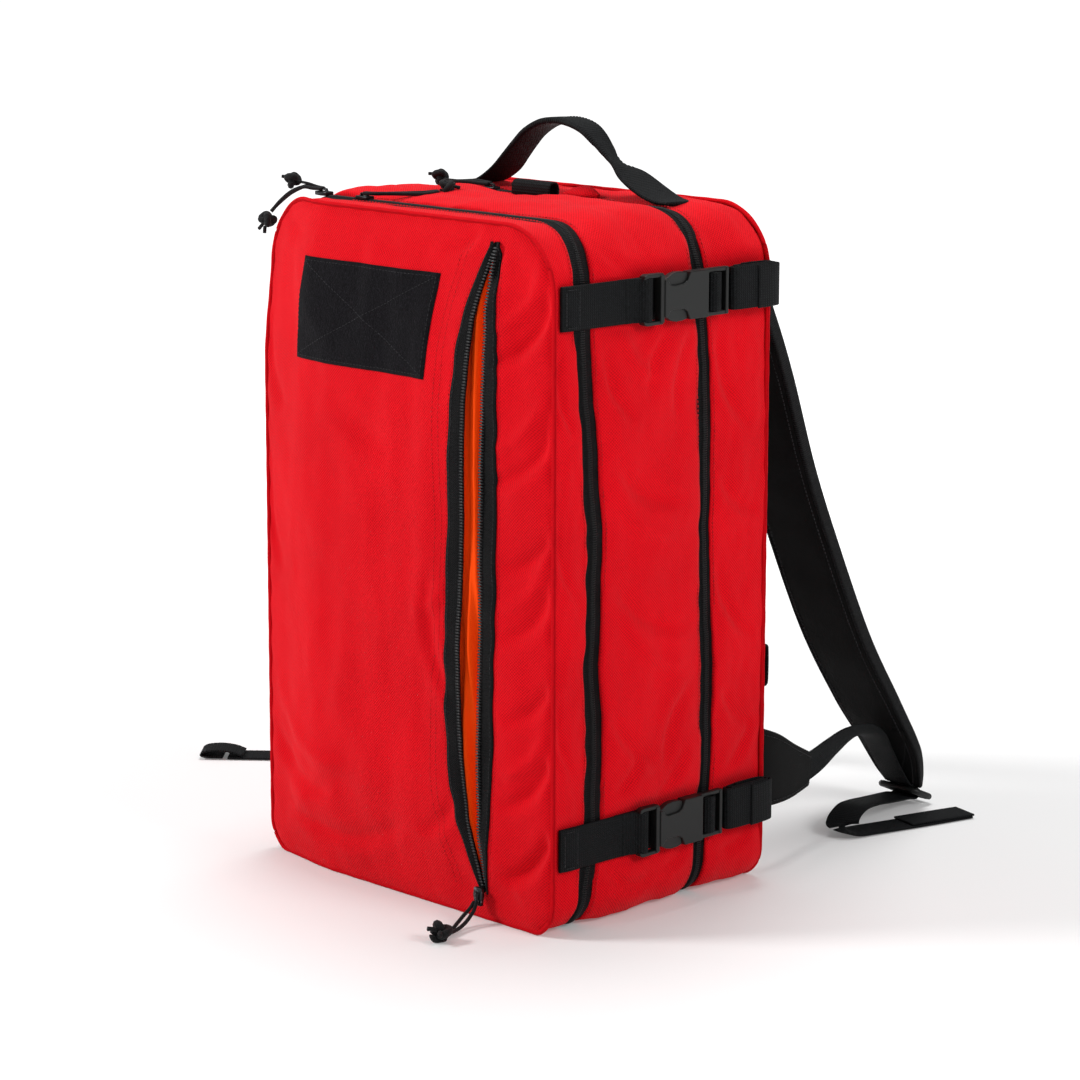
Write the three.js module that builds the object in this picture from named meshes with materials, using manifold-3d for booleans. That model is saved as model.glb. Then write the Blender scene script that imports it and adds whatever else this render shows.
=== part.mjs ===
// Clamshell trauma backpack: three zipped fabric shells, carry handle, shoulder straps,
// compression straps with side-release buckles, and an open front pocket.
// Millimetres. +X is the bag's right side, -Y its front, +Z up, z = 0 the floor under its base.
import * as THREE from 'three';
import { mergeVertices } from 'three/addons/utils/BufferGeometryUtils.js';
import Module from 'manifold-3d';

const wasm = await Module();
wasm.setup();

// ---- driving dimensions ----
const WIDTH = 300;
const HEIGHT = 480;
const TOP_RADIUS = 45;
const BOTTOM_RADIUS = 32;
const WALL = 4;
const GAP = 0.3;

const FRONT_Y = -110;
const FRONT_ZIP_Y = -67;
const REAR_ZIP_Y = 42;
const BACK_Y = 105;
const SIDE_X = WIDTH / 2;

const TAPE_RECESS = 2;
const FRONT_TAPE_WIDTH = 8;
const REAR_TAPE_WIDTH = 6;

const WEBBING = 30;
const STRAP_WEBBING = 25;
const WEBBING_THICKNESS = 1.8;
const CORD_RADIUS = 1.6;

const HANDLE_Y = 62;
const UPPER_STRAP_Z = 428;
const LOWER_STRAP_Z = 61;

// ---- materials ----
function finish(color, roughness, metalness = 0) {
  return new THREE.MeshStandardMaterial({ color, roughness, metalness });
}

const MATERIALS = {
  red_fabric: finish(0xe01024, 0.8),
  orange_lining: finish(0xff5208, 0.75),
  black_webbing: finish(0x1a1c1e, 0.7),
  strap_fabric: finish(0x141414, 0.85),
  zip_tape: finish(0x242428, 0.75),
  slider_metal: finish(0x1c1c1e, 0.35, 0.8),
  black_plastic: finish(0x323432, 0.4),
  loop_fabric: finish(0x1c1a1c, 0.95),
  pull_cord: finish(0x18181a, 0.8),
  back_mesh: finish(0x1b1b1d, 0.9),
  frame_sheet: finish(0x2a2c2e, 0.5),
};

const bag = new THREE.Group();

function addPiece(name, slot, geometry, parent = bag) {
  const mesh = new THREE.Mesh(geometry, MATERIALS[slot]);
  mesh.name = name;
  parent.add(mesh);
  return mesh;
}

// ---- general shapes ----
function point(x, y, z) {
  return new THREE.Vector3(x, y, z);
}

// A closed solid through rings of equally many points, with a cap at each end.
function loft(rings) {
  const count = rings[0].length;
  const positions = [];
  const triangles = [];
  for (const ring of rings) {
    for (const p of ring) {
      positions.push(p.x, p.y, p.z);
    }
  }
  for (let r = 0; r + 1 < rings.length; r += 1) {
    for (let i = 0; i < count; i += 1) {
      const a = r * count + i;
      const b = r * count + (i + 1) % count;
      triangles.push(a, b, b + count, a, b + count, a + count);
    }
  }
  const last = (rings.length - 1) * count;
  for (let i = 1; i + 1 < count; i += 1) {
    triangles.push(0, i + 1, i, last, last + i, last + i + 1);
  }
  const geometry = new THREE.BufferGeometry();
  geometry.setAttribute('position', new THREE.Float32BufferAttribute(positions, 3));
  geometry.setIndex(triangles);
  if (signedVolume(positions, triangles) < 0) {
    for (let i = 0; i < triangles.length; i += 3) {
      [triangles[i], triangles[i + 1]] = [triangles[i + 1], triangles[i]];
    }
    geometry.setIndex(triangles);
  }
  return geometry;
}

function signedVolume(positions, triangles) {
  let total = 0;
  const corner = (i) => point(positions[3 * i], positions[3 * i + 1], positions[3 * i + 2]);
  for (let i = 0; i < triangles.length; i += 3) {
    const [a, b, c] = [0, 1, 2].map((k) => corner(triangles[i + k]));
    total += a.dot(b.cross(c));
  }
  return total;
}

// A flat strap along a route. Each stop is [x, y, z, width], and across gives the width's direction.
function ribbon(stops, thickness, across) {
  const centres = stops.map((s) => point(s[0], s[1], s[2]));
  const rings = centres.map((centre, i) => {
    const before = centres[Math.max(i - 1, 0)];
    const after = centres[Math.min(i + 1, centres.length - 1)];
    const along = after.clone().sub(before).normalize();
    const wish = typeof across === 'function' ? across(i, along) : across;
    const side = wish.clone().addScaledVector(along, -wish.dot(along)).normalize();
    const up = along.clone().cross(side);
    const halfWidth = stops[i][3] / 2;
    const halfThickness = (stops[i][4] ?? thickness) / 2;
    return [[1, 1], [-1, 1], [-1, -1], [1, -1]].map(([s, u]) => centre.clone()
      .addScaledVector(side, s * halfWidth)
      .addScaledVector(up, u * halfThickness));
  });
  return loft(rings);
}

// The same route with rounded turns: extra stops on a smooth curve through the given ones.
function smoothStops(stops, pieces) {
  const curve = new THREE.CatmullRomCurve3(stops.map((s) => point(s[0], s[1], s[2])));
  const count = stops.length - 1;
  return Array.from({ length: pieces + 1 }, (_, k) => {
    const t = k / pieces;
    const i = Math.min(Math.floor(t * count), count - 1);
    const f = t * count - i;
    const p = curve.getPoint(t);
    const extra = stops[i].slice(3).map((v, j) => v + (stops[i + 1][3 + j] - v) * f);
    return [p.x, p.y, p.z, ...extra];
  });
}

function box(x0, x1, y0, y1, z0, z1) {
  const geometry = new THREE.BoxGeometry(x1 - x0, y1 - y0, z1 - z0);
  return geometry.translate((x0 + x1) / 2, (y0 + y1) / 2, (z0 + z1) / 2);
}

function roundedShape(x0, x1, y0, y1, radius) {
  const shape = new THREE.Shape();
  shape.moveTo(x0 + radius, y0);
  shape.lineTo(x1 - radius, y0);
  shape.absarc(x1 - radius, y0 + radius, radius, -Math.PI / 2, 0);
  shape.lineTo(x1, y1 - radius);
  shape.absarc(x1 - radius, y1 - radius, radius, 0, Math.PI / 2);
  shape.lineTo(x0 + radius, y1);
  shape.absarc(x0 + radius, y1 - radius, radius, Math.PI / 2, Math.PI);
  shape.lineTo(x0, y0 + radius);
  shape.absarc(x0 + radius, y0 + radius, radius, Math.PI, 1.5 * Math.PI);
  return shape;
}

function extrude(shape, depth, curveSegments = 3) {
  return new THREE.ExtrudeGeometry(shape, { depth, bevelEnabled: false, curveSegments });
}

// Shape drawn in (Y, Z), extruded towards +X from x0.
function extrudeAlongX(shape, x0, length, curveSegments) {
  const turn = new THREE.Matrix4().makeBasis(point(0, 1, 0), point(0, 0, 1), point(1, 0, 0));
  return extrude(shape, length, curveSegments).applyMatrix4(turn).translate(x0, 0, 0);
}

// Shape drawn in (X, Z), extruded towards -Y from y0.
function extrudeAlongY(shape, y0, length, curveSegments) {
  const turn = new THREE.Matrix4().makeBasis(point(1, 0, 0), point(0, 0, 1), point(0, -1, 0));
  return extrude(shape, length, curveSegments).applyMatrix4(turn).translate(0, y0, 0);
}

function cordTube(points, steps) {
  const section = new THREE.Shape();
  section.absarc(0, 0, CORD_RADIUS, 0, 2 * Math.PI);
  const extrudePath = new THREE.CatmullRomCurve3(points.map((p) => point(...p)));
  return new THREE.ExtrudeGeometry(section, { steps, extrudePath, bevelEnabled: false, curveSegments: 4 });
}

function knot(x, y, z, radii) {
  const geometry = new THREE.SphereGeometry(1, 8, 6);
  return geometry.scale(...radii).translate(x, y, z);
}

// ---- booleans ----
function toManifold(geometry) {
  const plain = geometry.clone();
  plain.deleteAttribute('normal');
  plain.deleteAttribute('uv');
  const merged = mergeVertices(plain, 1e-4);
  return new wasm.Manifold(new wasm.Mesh({
    numProp: 3,
    vertProperties: new Float32Array(merged.attributes.position.array),
    triVerts: new Uint32Array(merged.index.array),
  }));
}

function fromManifold(solid) {
  const mesh = solid.getMesh();
  const geometry = new THREE.BufferGeometry();
  geometry.setAttribute('position', new THREE.Float32BufferAttribute(mesh.vertProperties, 3));
  geometry.setIndex(Array.from(mesh.triVerts));
  return geometry;
}

function cut(geometry, cutters) {
  return fromManifold(cutters.reduce((s, c) => s.subtract(toManifold(c)), toManifold(geometry)));
}

function join(geometries) {
  return fromManifold(geometries.map(toManifold).reduce((a, b) => a.add(b)));
}

// ---- the three shells ----
const CORNER_STEPS = 5;

// The bag's outline seen from the front, moved in by inset, as a ring at depth y.
function ring(inset, y) {
  const corners = [
    [SIDE_X, HEIGHT, TOP_RADIUS, 0],
    [-SIDE_X, HEIGHT, TOP_RADIUS, 1],
    [-SIDE_X, 0, BOTTOM_RADIUS, 2],
    [SIDE_X, 0, BOTTOM_RADIUS, 3],
  ];
  return corners.flatMap(([x, z, radius, quarter]) => {
    const cx = x - Math.sign(x) * radius;
    const cz = z === 0 ? radius : z - radius;
    const r = Math.max(radius - inset, 1);
    const shift = Math.max(inset - radius + 1, 0);
    return Array.from({ length: CORNER_STEPS + 1 }, (_, k) => {
      const angle = (quarter + k / CORNER_STEPS) * Math.PI / 2;
      const px = cx + r * Math.cos(angle) - Math.sign(x) * shift;
      const pz = cz + r * Math.sin(angle) - (z === 0 ? -shift : shift);
      return point(px, y, pz);
    });
  });
}

// Inner bottom, inner rim, outer rim, then the outside down to the closed panel.
function frontShell() {
  const rim = FRONT_ZIP_Y - GAP / 2;
  const seat = FRONT_ZIP_Y - FRONT_TAPE_WIDTH - GAP;
  const body = loft([
    ring(12, FRONT_Y + WALL), ring(TAPE_RECESS + WALL, rim),
    ring(TAPE_RECESS, rim), ring(TAPE_RECESS, seat), ring(0, seat),
    ring(0, FRONT_Y + 11), ring(4, FRONT_Y + 3), ring(12, FRONT_Y),
  ]);
  return cut(body, [pocketMouth()]);
}

function middleShell() {
  const frontRim = FRONT_ZIP_Y + GAP / 2;
  const frontSeat = FRONT_ZIP_Y + FRONT_TAPE_WIDTH + GAP;
  const rearSeat = REAR_ZIP_Y - REAR_TAPE_WIDTH - GAP;
  const rearRim = REAR_ZIP_Y - GAP / 2;
  return loft([
    ring(TAPE_RECESS + WALL, rearRim - WALL), ring(TAPE_RECESS + WALL, frontRim),
    ring(TAPE_RECESS, frontRim), ring(TAPE_RECESS, frontSeat), ring(0, frontSeat),
    ring(0, rearSeat), ring(TAPE_RECESS, rearSeat), ring(TAPE_RECESS, rearRim),
  ]);
}

function backShell() {
  const rim = REAR_ZIP_Y + GAP / 2;
  const seat = REAR_ZIP_Y + REAR_TAPE_WIDTH + GAP;
  return loft([
    ring(8, BACK_Y - 3), ring(TAPE_RECESS + WALL, rim),
    ring(TAPE_RECESS, rim), ring(TAPE_RECESS, seat), ring(0, seat),
    ring(0, BACK_Y - 8), ring(3, BACK_Y - 3), ring(8, BACK_Y),
  ]);
}

// Half of a perimeter zip: from the left side over the top, down the right side and back underneath.
function zipTape(y0, y1) {
  const thickness = TAPE_RECESS - GAP;
  const outline = ring(thickness / 2, 0);
  const perCorner = CORNER_STEPS + 1;
  const topLeft = outline.slice(perCorner, perCorner + 3).reverse();
  const right = outline.slice(0, perCorner).reverse();
  const bottomRight = outline.slice(3 * perCorner).reverse();
  const bottomLeft = outline.slice(3 * perCorner - 3, 3 * perCorner).reverse();
  const route = [...topLeft, ...right, ...bottomRight, ...bottomLeft];
  const stops = route.map((p) => [p.x, (y0 + y1) / 2, p.z, y1 - y0]);
  return ribbon(stops, thickness, point(0, 1, 0));
}

function buildShells() {
  addPiece('front_shell', 'red_fabric', frontShell());
  addPiece('middle_shell', 'red_fabric', middleShell());
  addPiece('back_shell', 'red_fabric', backShell());
  const half = GAP / 2;
  const tapes = [
    ['front_zip_tape_outer', FRONT_ZIP_Y - FRONT_TAPE_WIDTH, FRONT_ZIP_Y - half],
    ['front_zip_tape_inner', FRONT_ZIP_Y + half, FRONT_ZIP_Y + FRONT_TAPE_WIDTH],
    ['rear_zip_tape_outer', REAR_ZIP_Y - REAR_TAPE_WIDTH, REAR_ZIP_Y - half],
    ['rear_zip_tape_inner', REAR_ZIP_Y + half, REAR_ZIP_Y + REAR_TAPE_WIDTH],
  ];
  for (const [name, y0, y1] of tapes) {
    addPiece(name, 'zip_tape', zipTape(y0, y1));
  }
}

// ---- back panel: stiffening sheet inside, padded mesh outside ----
function buildBackPanel() {
  const sheet = roundedShape(-120, 120, 25, 455, 25);
  addPiece('frame_sheet', 'frame_sheet', extrudeAlongY(sheet, BACK_Y - 3 - GAP, 2));
  const pad = roundedShape(-112, 112, 42, 402, 25);
  addPiece('back_pad', 'back_mesh', extrudeAlongY(pad, BACK_Y + 9, 9 - GAP));
}

// ---- front pocket ----
const MOUTH_TOP = point(99, FRONT_Y, 466);
const MOUTH_BOTTOM = point(88, FRONT_Y, 24);
const LEFT_BOW = 32;
const RIGHT_BOW = 13.5;
const MOUTH_STEPS = 14;

// Edge of the open zip mouth at share t of the way down, bowed to the bag's left.
function mouthEdge(t, bow) {
  const swell = 1 - (2 * t - 1) ** 4;
  const onLine = MOUTH_TOP.clone().lerp(MOUTH_BOTTOM, t);
  return { x: onLine.x - bow * swell, z: onLine.z, swell };
}

function mouthSteps() {
  return Array.from({ length: MOUTH_STEPS + 1 }, (_, k) => (1 - Math.cos(Math.PI * k / MOUTH_STEPS)) / 2);
}

function pocketMouth() {
  const shape = new THREE.Shape();
  const steps = mouthSteps();
  const left = steps.map((t) => mouthEdge(t, LEFT_BOW));
  const right = steps.map((t) => mouthEdge(t, RIGHT_BOW)).reverse();
  const outline = [...left, ...right.slice(1, -1)];
  shape.setFromPoints(outline.map((e) => new THREE.Vector2(e.x, e.z)));
  return extrudeAlongY(shape, FRONT_Y + 2 * WALL, 3 * WALL);
}

function pocketTape(bow, towards, endWidth, midWidth) {
  const stops = mouthSteps().map((t) => {
    const edge = mouthEdge(t, bow);
    const width = endWidth + (midWidth - endWidth) * edge.swell;
    return [edge.x + towards * (width / 2 + GAP), FRONT_Y - GAP - 0.6, edge.z, width];
  });
  return ribbon(stops, 1.2, point(1, 0, 0));
}

function pocketLining() {
  const outer = [28, 131, 18, 462];
  const rings = [[2, FRONT_Y + 18], [2, FRONT_Y + WALL + GAP], [0, FRONT_Y + WALL + GAP], [0, FRONT_Y + 20]];
  return loft(rings.map(([inset, y]) => {
    const [x0, x1, z0, z1] = outer;
    const shape = roundedShape(x0 + inset, x1 - inset, z0 + inset, z1 - inset, 20 - inset);
    return shape.extractPoints(3).shape.slice(0, -1).map((p) => point(p.x, y, p.y));
  }));
}

function buildPocket() {
  addPiece('pocket_lining', 'orange_lining', pocketLining());
  addPiece('pocket_tape_left', 'zip_tape', pocketTape(LEFT_BOW, -1, 4, 13));
  addPiece('pocket_tape_right', 'zip_tape', pocketTape(RIGHT_BOW, 1, 4, 14));
  const patch = roundedShape(-97, 41, 372, 444, 2);
  addPiece('loop_patch', 'loop_fabric', extrudeAlongY(patch, FRONT_Y - GAP, 2, 2));
}

// ---- zip sliders and their cord pulls ----
const SLIDER_LENGTH = 13;

// Slider lying on a zip in its own frame: travel along X, zip surface at z = 0.
function sliderBody() {
  const half = SLIDER_LENGTH / 2;
  const plate = new THREE.Shape();
  plate.moveTo(-half, -3);
  plate.lineTo(1, -4.6);
  plate.lineTo(half, -3.6);
  plate.lineTo(half, 3.6);
  plate.lineTo(1, 4.6);
  plate.lineTo(-half, 3);
  const bridge = new THREE.Shape();
  bridge.moveTo(-4.5, 2.4);
  bridge.lineTo(-3.2, 5.4);
  bridge.lineTo(3.2, 5.4);
  bridge.lineTo(4.5, 2.4);
  bridge.lineTo(2.6, 2.4);
  bridge.lineTo(2, 4.2);
  bridge.lineTo(-2, 4.2);
  bridge.lineTo(-2.6, 2.4);
  const turn = new THREE.Matrix4().makeBasis(point(1, 0, 0), point(0, 0, 1), point(0, -1, 0));
  const crown = extrude(bridge, 2.4).applyMatrix4(turn).translate(0, 1.2, 0);
  return join([extrude(plate, 2.8).translate(0, 0, GAP), crown]);
}

function buildTopSlider(name, x, y) {
  const piece = addPiece(name, 'slider_metal', sliderBody());
  piece.position.set(x, y, HEIGHT);
}

function buildSliders() {
  buildTopSlider('front_zip_slider_a', -119, FRONT_ZIP_Y);
  buildTopSlider('front_zip_slider_b', -76, FRONT_ZIP_Y);
  buildTopSlider('rear_zip_slider', -62, REAR_ZIP_Y);
  const pocketSlider = addPiece('pocket_slider', 'slider_metal', sliderBody());
  pocketSlider.quaternion.setFromRotationMatrix(
    new THREE.Matrix4().makeBasis(point(0, 0, 1), point(1, 0, 0).negate(), point(0, -1, 0)),
  );
  pocketSlider.position.set(88, FRONT_Y - GAP - 1.4, 19);
}

function buildPulls() {
  addPiece('front_pull_cord_a', 'pull_cord', cordTube([
    [-127.8, -68, 484], [-136, -70, 485], [-146, -74, 481], [-153, -79, 474], [-157, -84, 467],
  ], 10));
  addPiece('front_pull_knot_a', 'pull_cord', knot(-159, -86, 459, [5.5, 5.5, 6.5]));
  addPiece('front_pull_bead_a', 'pull_cord', knot(-147, -72, 488.5, [6, 5, 4.5]));
  addPiece('front_pull_cord_b', 'pull_cord', cordTube([
    [-67.5, -65, 484], [-60, -57, 485], [-55, -44, 483.5], [-51, -32, 482.6], [-48, -22.5, 483.5],
  ], 10));
  addPiece('front_pull_knot_b', 'pull_cord', knot(-45.5, -15, 486, [6, 6, 5]));
  addPiece('rear_pull_cord', 'pull_cord', cordTube([
    [-70.5, 42, 484], [-80, 41, 485], [-90, 39, 483], [-99, 38, 482.6], [-105, 38, 483.5],
  ], 8));
  addPiece('rear_pull_knot', 'pull_cord', knot(-112.5, 38, 485.8, [6.5, 5.5, 4.8]));
  addPiece('pocket_pull_cord', 'pull_cord', cordTube([
    [88, -119.4, 11], [88.3, -125, 7], [90, -132, 3.4], [93, -140, 2.2], [96, -148, 2], [98.5, -154.5, 2.6],
  ], 10));
  addPiece('pocket_pull_knot', 'pull_cord', knot(101.5, -162.5, 5.2, [7, 6, 5]));
}

// ---- carry handle and the tab in front of it ----
const HANDLE_THICKNESS = 2.6;
const GRIP_ROUTE = [
  [-62.8, HANDLE_Y, 507, 19], [-48, HANDLE_Y, 520.5, 17], [-28, HANDLE_Y, 531, 16],
  [-6, HANDLE_Y, 533.5, 16], [16, HANDLE_Y, 528, 16], [31, HANDLE_Y, 517, 17], [43.9, HANDLE_Y, 507, 19],
];
const LEFT_LEG = [
  [-65.6, HANDLE_Y, 504.4, 19], [-74, HANDLE_Y, 496, 27], [-84, HANDLE_Y, 487, 30], [-93, HANDLE_Y, 482.6, 30],
  [-106, HANDLE_Y, 481.7, 30],
];
const RIGHT_LEG = [
  [46.5, HANDLE_Y, 505.2, 19], [58, HANDLE_Y, 499, 26], [76, HANDLE_Y, 489.5, 30], [92, HANDLE_Y, 482.8, 30],
  [106, HANDLE_Y, 481.7, 30],
];

function buildHandle() {
  const widthways = point(0, 1, 0);
  const pieces = [
    ['handle_grip', GRIP_ROUTE, 14],
    ['handle_leg_left', LEFT_LEG, 8],
    ['handle_leg_right', RIGHT_LEG, 8],
  ];
  for (const [name, route, steps] of pieces) {
    addPiece(name, 'black_webbing', ribbon(smoothStops(route, steps), HANDLE_THICKNESS, widthways));
  }
  const z0 = HEIGHT + GAP;
  const wall = 1.6;
  const loop = new THREE.Shape();
  loop.moveTo(21, z0);
  loop.lineTo(21, HEIGHT + 8);
  loop.absarc(26, HEIGHT + 8, 5, Math.PI, 0, true);
  loop.lineTo(31, z0);
  loop.lineTo(31 - wall, z0);
  loop.lineTo(31 - wall, HEIGHT + 8);
  loop.absarc(26, HEIGHT + 8, 5 - wall, 0, Math.PI, false);
  loop.lineTo(21 + wall, z0);
  addPiece('top_tab', 'black_webbing', extrudeAlongX(loop, -19, 38, 4));
}

// ---- shoulder straps, their ladder locks, wings and webbing ----
const STRAP_ROUTE = [
  [72, 111.5, 456, 62, 8], [73, 128, 449, 62, 10], [75, 147, 425, 62, 10], [76, 166, 390, 62, 10],
  [78, 184, 346, 62, 10], [80, 206, 280, 62, 10], [84, 227, 224, 62, 10], [89, 259, 146, 62, 10],
  [93, 294, 84, 60, 9], [94, 312, 54, 52, 7], [94, 322, 33, 34, 4],
];
const WING_ROUTE = [[132, 110.8, 76, 62, 6], [138, 126, 73, 55, 6], [136, 150, 67, 41, 6], [127, 179, 61, 26, 5]];
const UPPER_WEBBING = [
  [126, 182, 60.6], [121, 205, 66], [114, 232, 70], [107, 262, 70], [101, 284, 62], [97, 297, 46],
  [95, 304, 32], [95, 306, 22],
];
const RIGHT_TAIL = [
  [97, 300, 14], [102, 284, 14], [109, 262, 17], [115, 244, 17], [119, 232, 12], [121, 229, 6],
  [123, 236, 1.6], [127, 252, 1.4], [138, 290, 1.4], [149, 336, 1.4],
];
const LEFT_TAIL = [
  [-97, 300, 14], [-103, 292, 6], [-112, 284, 1.8], [-124, 275, 1.4], [-190, 214.6, 1.4], [-256, 152.8, 1.4],
  [-322, 91, 1.4], [-385, 32, 1.4],
];

function mirrored(stops) {
  return stops.map(([x, ...rest]) => [-x, ...rest]);
}

function ladderLock(side) {
  const frame = roundedShape(-18, 18, -11, 11, 3);
  for (const [y0, y1] of [[-8, -4.5], [-1, 2.5], [5.5, 8.5]]) {
    frame.holes.push(roundedShape(-14, 14, y0, y1, 1));
  }
  const plate = extrude(frame, 4, 2).translate(0, 0, -2).rotateX(THREE.MathUtils.degToRad(-24));
  return plate.translate(side * 94, 333, 8.6);
}

function webbingAcross(bend) {
  return (i, along) => (i < bend ? point(1, 0, 0) : point(along.y, -along.x, 0));
}

function buildShoulderStraps() {
  for (const [label, side, tail] of [['right', 1, RIGHT_TAIL], ['left', -1, LEFT_TAIL]]) {
    const place = (stops) => (side > 0 ? stops : mirrored(stops));
    const strap = smoothStops(place(STRAP_ROUTE), 18);
    addPiece(`shoulder_strap_${label}`, 'strap_fabric', ribbon(strap, 10, point(1, 0, 0)));
    addPiece(`ladder_lock_${label}`, 'black_plastic', ladderLock(side));
    addPiece(`strap_wing_${label}`, 'strap_fabric', ribbon(place(WING_ROUTE), 6, point(0, -0.3, 1)));
    const route = [...place(UPPER_WEBBING), ...tail].map((p) => [...p, STRAP_WEBBING]);
    const across = side > 0 ? point(1, 0, 0) : webbingAcross(UPPER_WEBBING.length + 1);
    addPiece(`strap_webbing_${label}`, 'black_webbing', ribbon(route, WEBBING_THICKNESS, across));
    const x0 = side > 0 ? 142 : -150;
    addPiece(`side_tab_${label}`, 'black_webbing', box(x0, x0 + 8, BACK_Y + 0.5, BACK_Y + 4.5, 140, 171));
  }
}

// ---- compression straps on the right side ----
const BUCKLE_X = SIDE_X + GAP + WEBBING_THICKNESS + GAP;
const BUCKLE_THICKNESS = 9;
const CAVITY_WALL = 2;

function femaleHalf(z) {
  const body = roundedShape(-10, 54, z - 16.5, z + 16.5, 3);
  const block = extrudeAlongX(body, BUCKLE_X, BUCKLE_THICKNESS, 2);
  const inner = BUCKLE_X + CAVITY_WALL;
  const outer = BUCKLE_X + BUCKLE_THICKNESS - CAVITY_WALL;
  const cavity = box(inner, outer, -11, 15, z - 13.5, z + 13.5);
  const windows = [-1, 1].map((s) => box(inner, outer, -4, 11, z + s * 15.5 - 3, z + s * 15.5 + 3));
  const slots = [[33, 38], [43, 48]].map(([y0, y1]) => (
    box(BUCKLE_X - 1, BUCKLE_X + BUCKLE_THICKNESS + 1, y0, y1, z - 13, z + 13)));
  const thinner = box(BUCKLE_X + 5, BUCKLE_X + BUCKLE_THICKNESS + 1, 29, 55, z - 17, z + 17);
  return cut(block, [cavity, ...windows, ...slots, thinner]);
}

function maleHalf(z) {
  const middle = BUCKLE_X + BUCKLE_THICKNESS / 2;
  const frame = roundedShape(-28, -11.5, z - 16.5, z + 16.5, 3);
  const block = extrudeAlongX(frame, BUCKLE_X, BUCKLE_THICKNESS, 2);
  const slot = box(BUCKLE_X - 1, BUCKLE_X + BUCKLE_THICKNESS + 1, -24, -19, z - 13, z + 13);
  const guide = box(middle - 1.8, middle + 1.8, -13, 8, z - 3, z + 3);
  return join([cut(block, [slot]), guide]);
}

function prong(z, towards) {
  const shape = new THREE.Shape();
  shape.moveTo(-11, 8);
  shape.lineTo(2, 8.2);
  shape.lineTo(11, 7);
  shape.lineTo(11, 9.5);
  shape.lineTo(4, 12.8);
  shape.lineTo(0, 12.8);
  shape.lineTo(-1, 10.6);
  shape.lineTo(-11, 11);
  const middle = BUCKLE_X + BUCKLE_THICKNESS / 2;
  const geometry = extrudeAlongX(shape, middle - 1.8, 3.6);
  if (towards < 0) {
    return flipped(geometry.scale(1, 1, -1)).translate(0, 0, z);
  }
  return geometry.translate(0, 0, z);
}

// The same solid with every triangle turned over, for a mirrored shape.
function flipped(geometry) {
  const merged = mergeVertices(geometry);
  const order = Array.from(merged.index.array);
  for (let i = 0; i < order.length; i += 3) {
    [order[i], order[i + 1]] = [order[i + 1], order[i]];
  }
  merged.setIndex(order);
  return merged;
}

function keeperLoop(z) {
  const x0 = BUCKLE_X;
  const outer = new THREE.Shape(roundedShape(58, 101, x0, x0 + 9, 4).getPoints(3));
  outer.holes.push(roundedShape(60, 99, x0 + 2, x0 + 7, 2.4));
  const turn = new THREE.Matrix4().makeBasis(point(0, 1, 0), point(1, 0, 0), point(0, 0, 1));
  const geometry = extrude(outer, WEBBING, 3).applyMatrix4(turn).translate(0, 0, z - WEBBING / 2);
  return flipped(geometry);
}

function buildCompressionStrap(level, z) {
  const x0 = SIDE_X + GAP;
  const x1 = x0 + WEBBING_THICKNESS;
  const z0 = z - WEBBING / 2;
  const z1 = z + WEBBING / 2;
  addPiece(`${level}_front_web`, 'black_webbing', box(x0, x1, FRONT_Y + 11, -18, z0, z1));
  addPiece(`${level}_rear_web`, 'black_webbing', box(x0, x1, 30, BACK_Y - 5, z0, z1));
  addPiece(`${level}_buckle_male`, 'black_plastic', maleHalf(z));
  addPiece(`${level}_buckle_female`, 'black_plastic', femaleHalf(z));
  addPiece(`${level}_prong_top`, 'black_plastic', prong(z, 1));
  addPiece(`${level}_prong_bottom`, 'black_plastic', prong(z, -1));
  addPiece(`${level}_keeper`, 'black_webbing', keeperLoop(z));
}

buildShells();
buildBackPanel();
buildPocket();
buildSliders();
buildPulls();
buildHandle();
buildShoulderStraps();
buildCompressionStrap('upper', UPPER_STRAP_Z);
buildCompressionStrap('lower', LOWER_STRAP_Z);

export default bag;
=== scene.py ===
"""The looks of a red trauma backpack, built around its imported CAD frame. Metres, +Z up, front towards -Y."""
import math

import bmesh
import bpy
import numpy as np
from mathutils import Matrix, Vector, noise


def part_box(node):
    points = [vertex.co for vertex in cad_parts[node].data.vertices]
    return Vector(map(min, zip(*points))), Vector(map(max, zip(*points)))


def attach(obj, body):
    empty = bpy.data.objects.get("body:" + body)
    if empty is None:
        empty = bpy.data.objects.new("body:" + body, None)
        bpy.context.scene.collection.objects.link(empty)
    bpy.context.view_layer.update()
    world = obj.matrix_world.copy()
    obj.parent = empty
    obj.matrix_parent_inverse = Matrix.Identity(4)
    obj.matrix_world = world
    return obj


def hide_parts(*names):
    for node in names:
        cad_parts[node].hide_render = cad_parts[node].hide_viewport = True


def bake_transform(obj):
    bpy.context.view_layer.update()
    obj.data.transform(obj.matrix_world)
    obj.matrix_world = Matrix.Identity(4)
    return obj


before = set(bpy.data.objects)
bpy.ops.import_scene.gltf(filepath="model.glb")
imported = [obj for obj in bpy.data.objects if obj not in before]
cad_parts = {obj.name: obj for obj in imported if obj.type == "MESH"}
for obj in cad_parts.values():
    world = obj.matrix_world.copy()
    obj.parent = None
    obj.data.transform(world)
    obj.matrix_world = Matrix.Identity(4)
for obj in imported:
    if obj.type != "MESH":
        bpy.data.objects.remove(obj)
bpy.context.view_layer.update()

MM = 0.001

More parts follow.
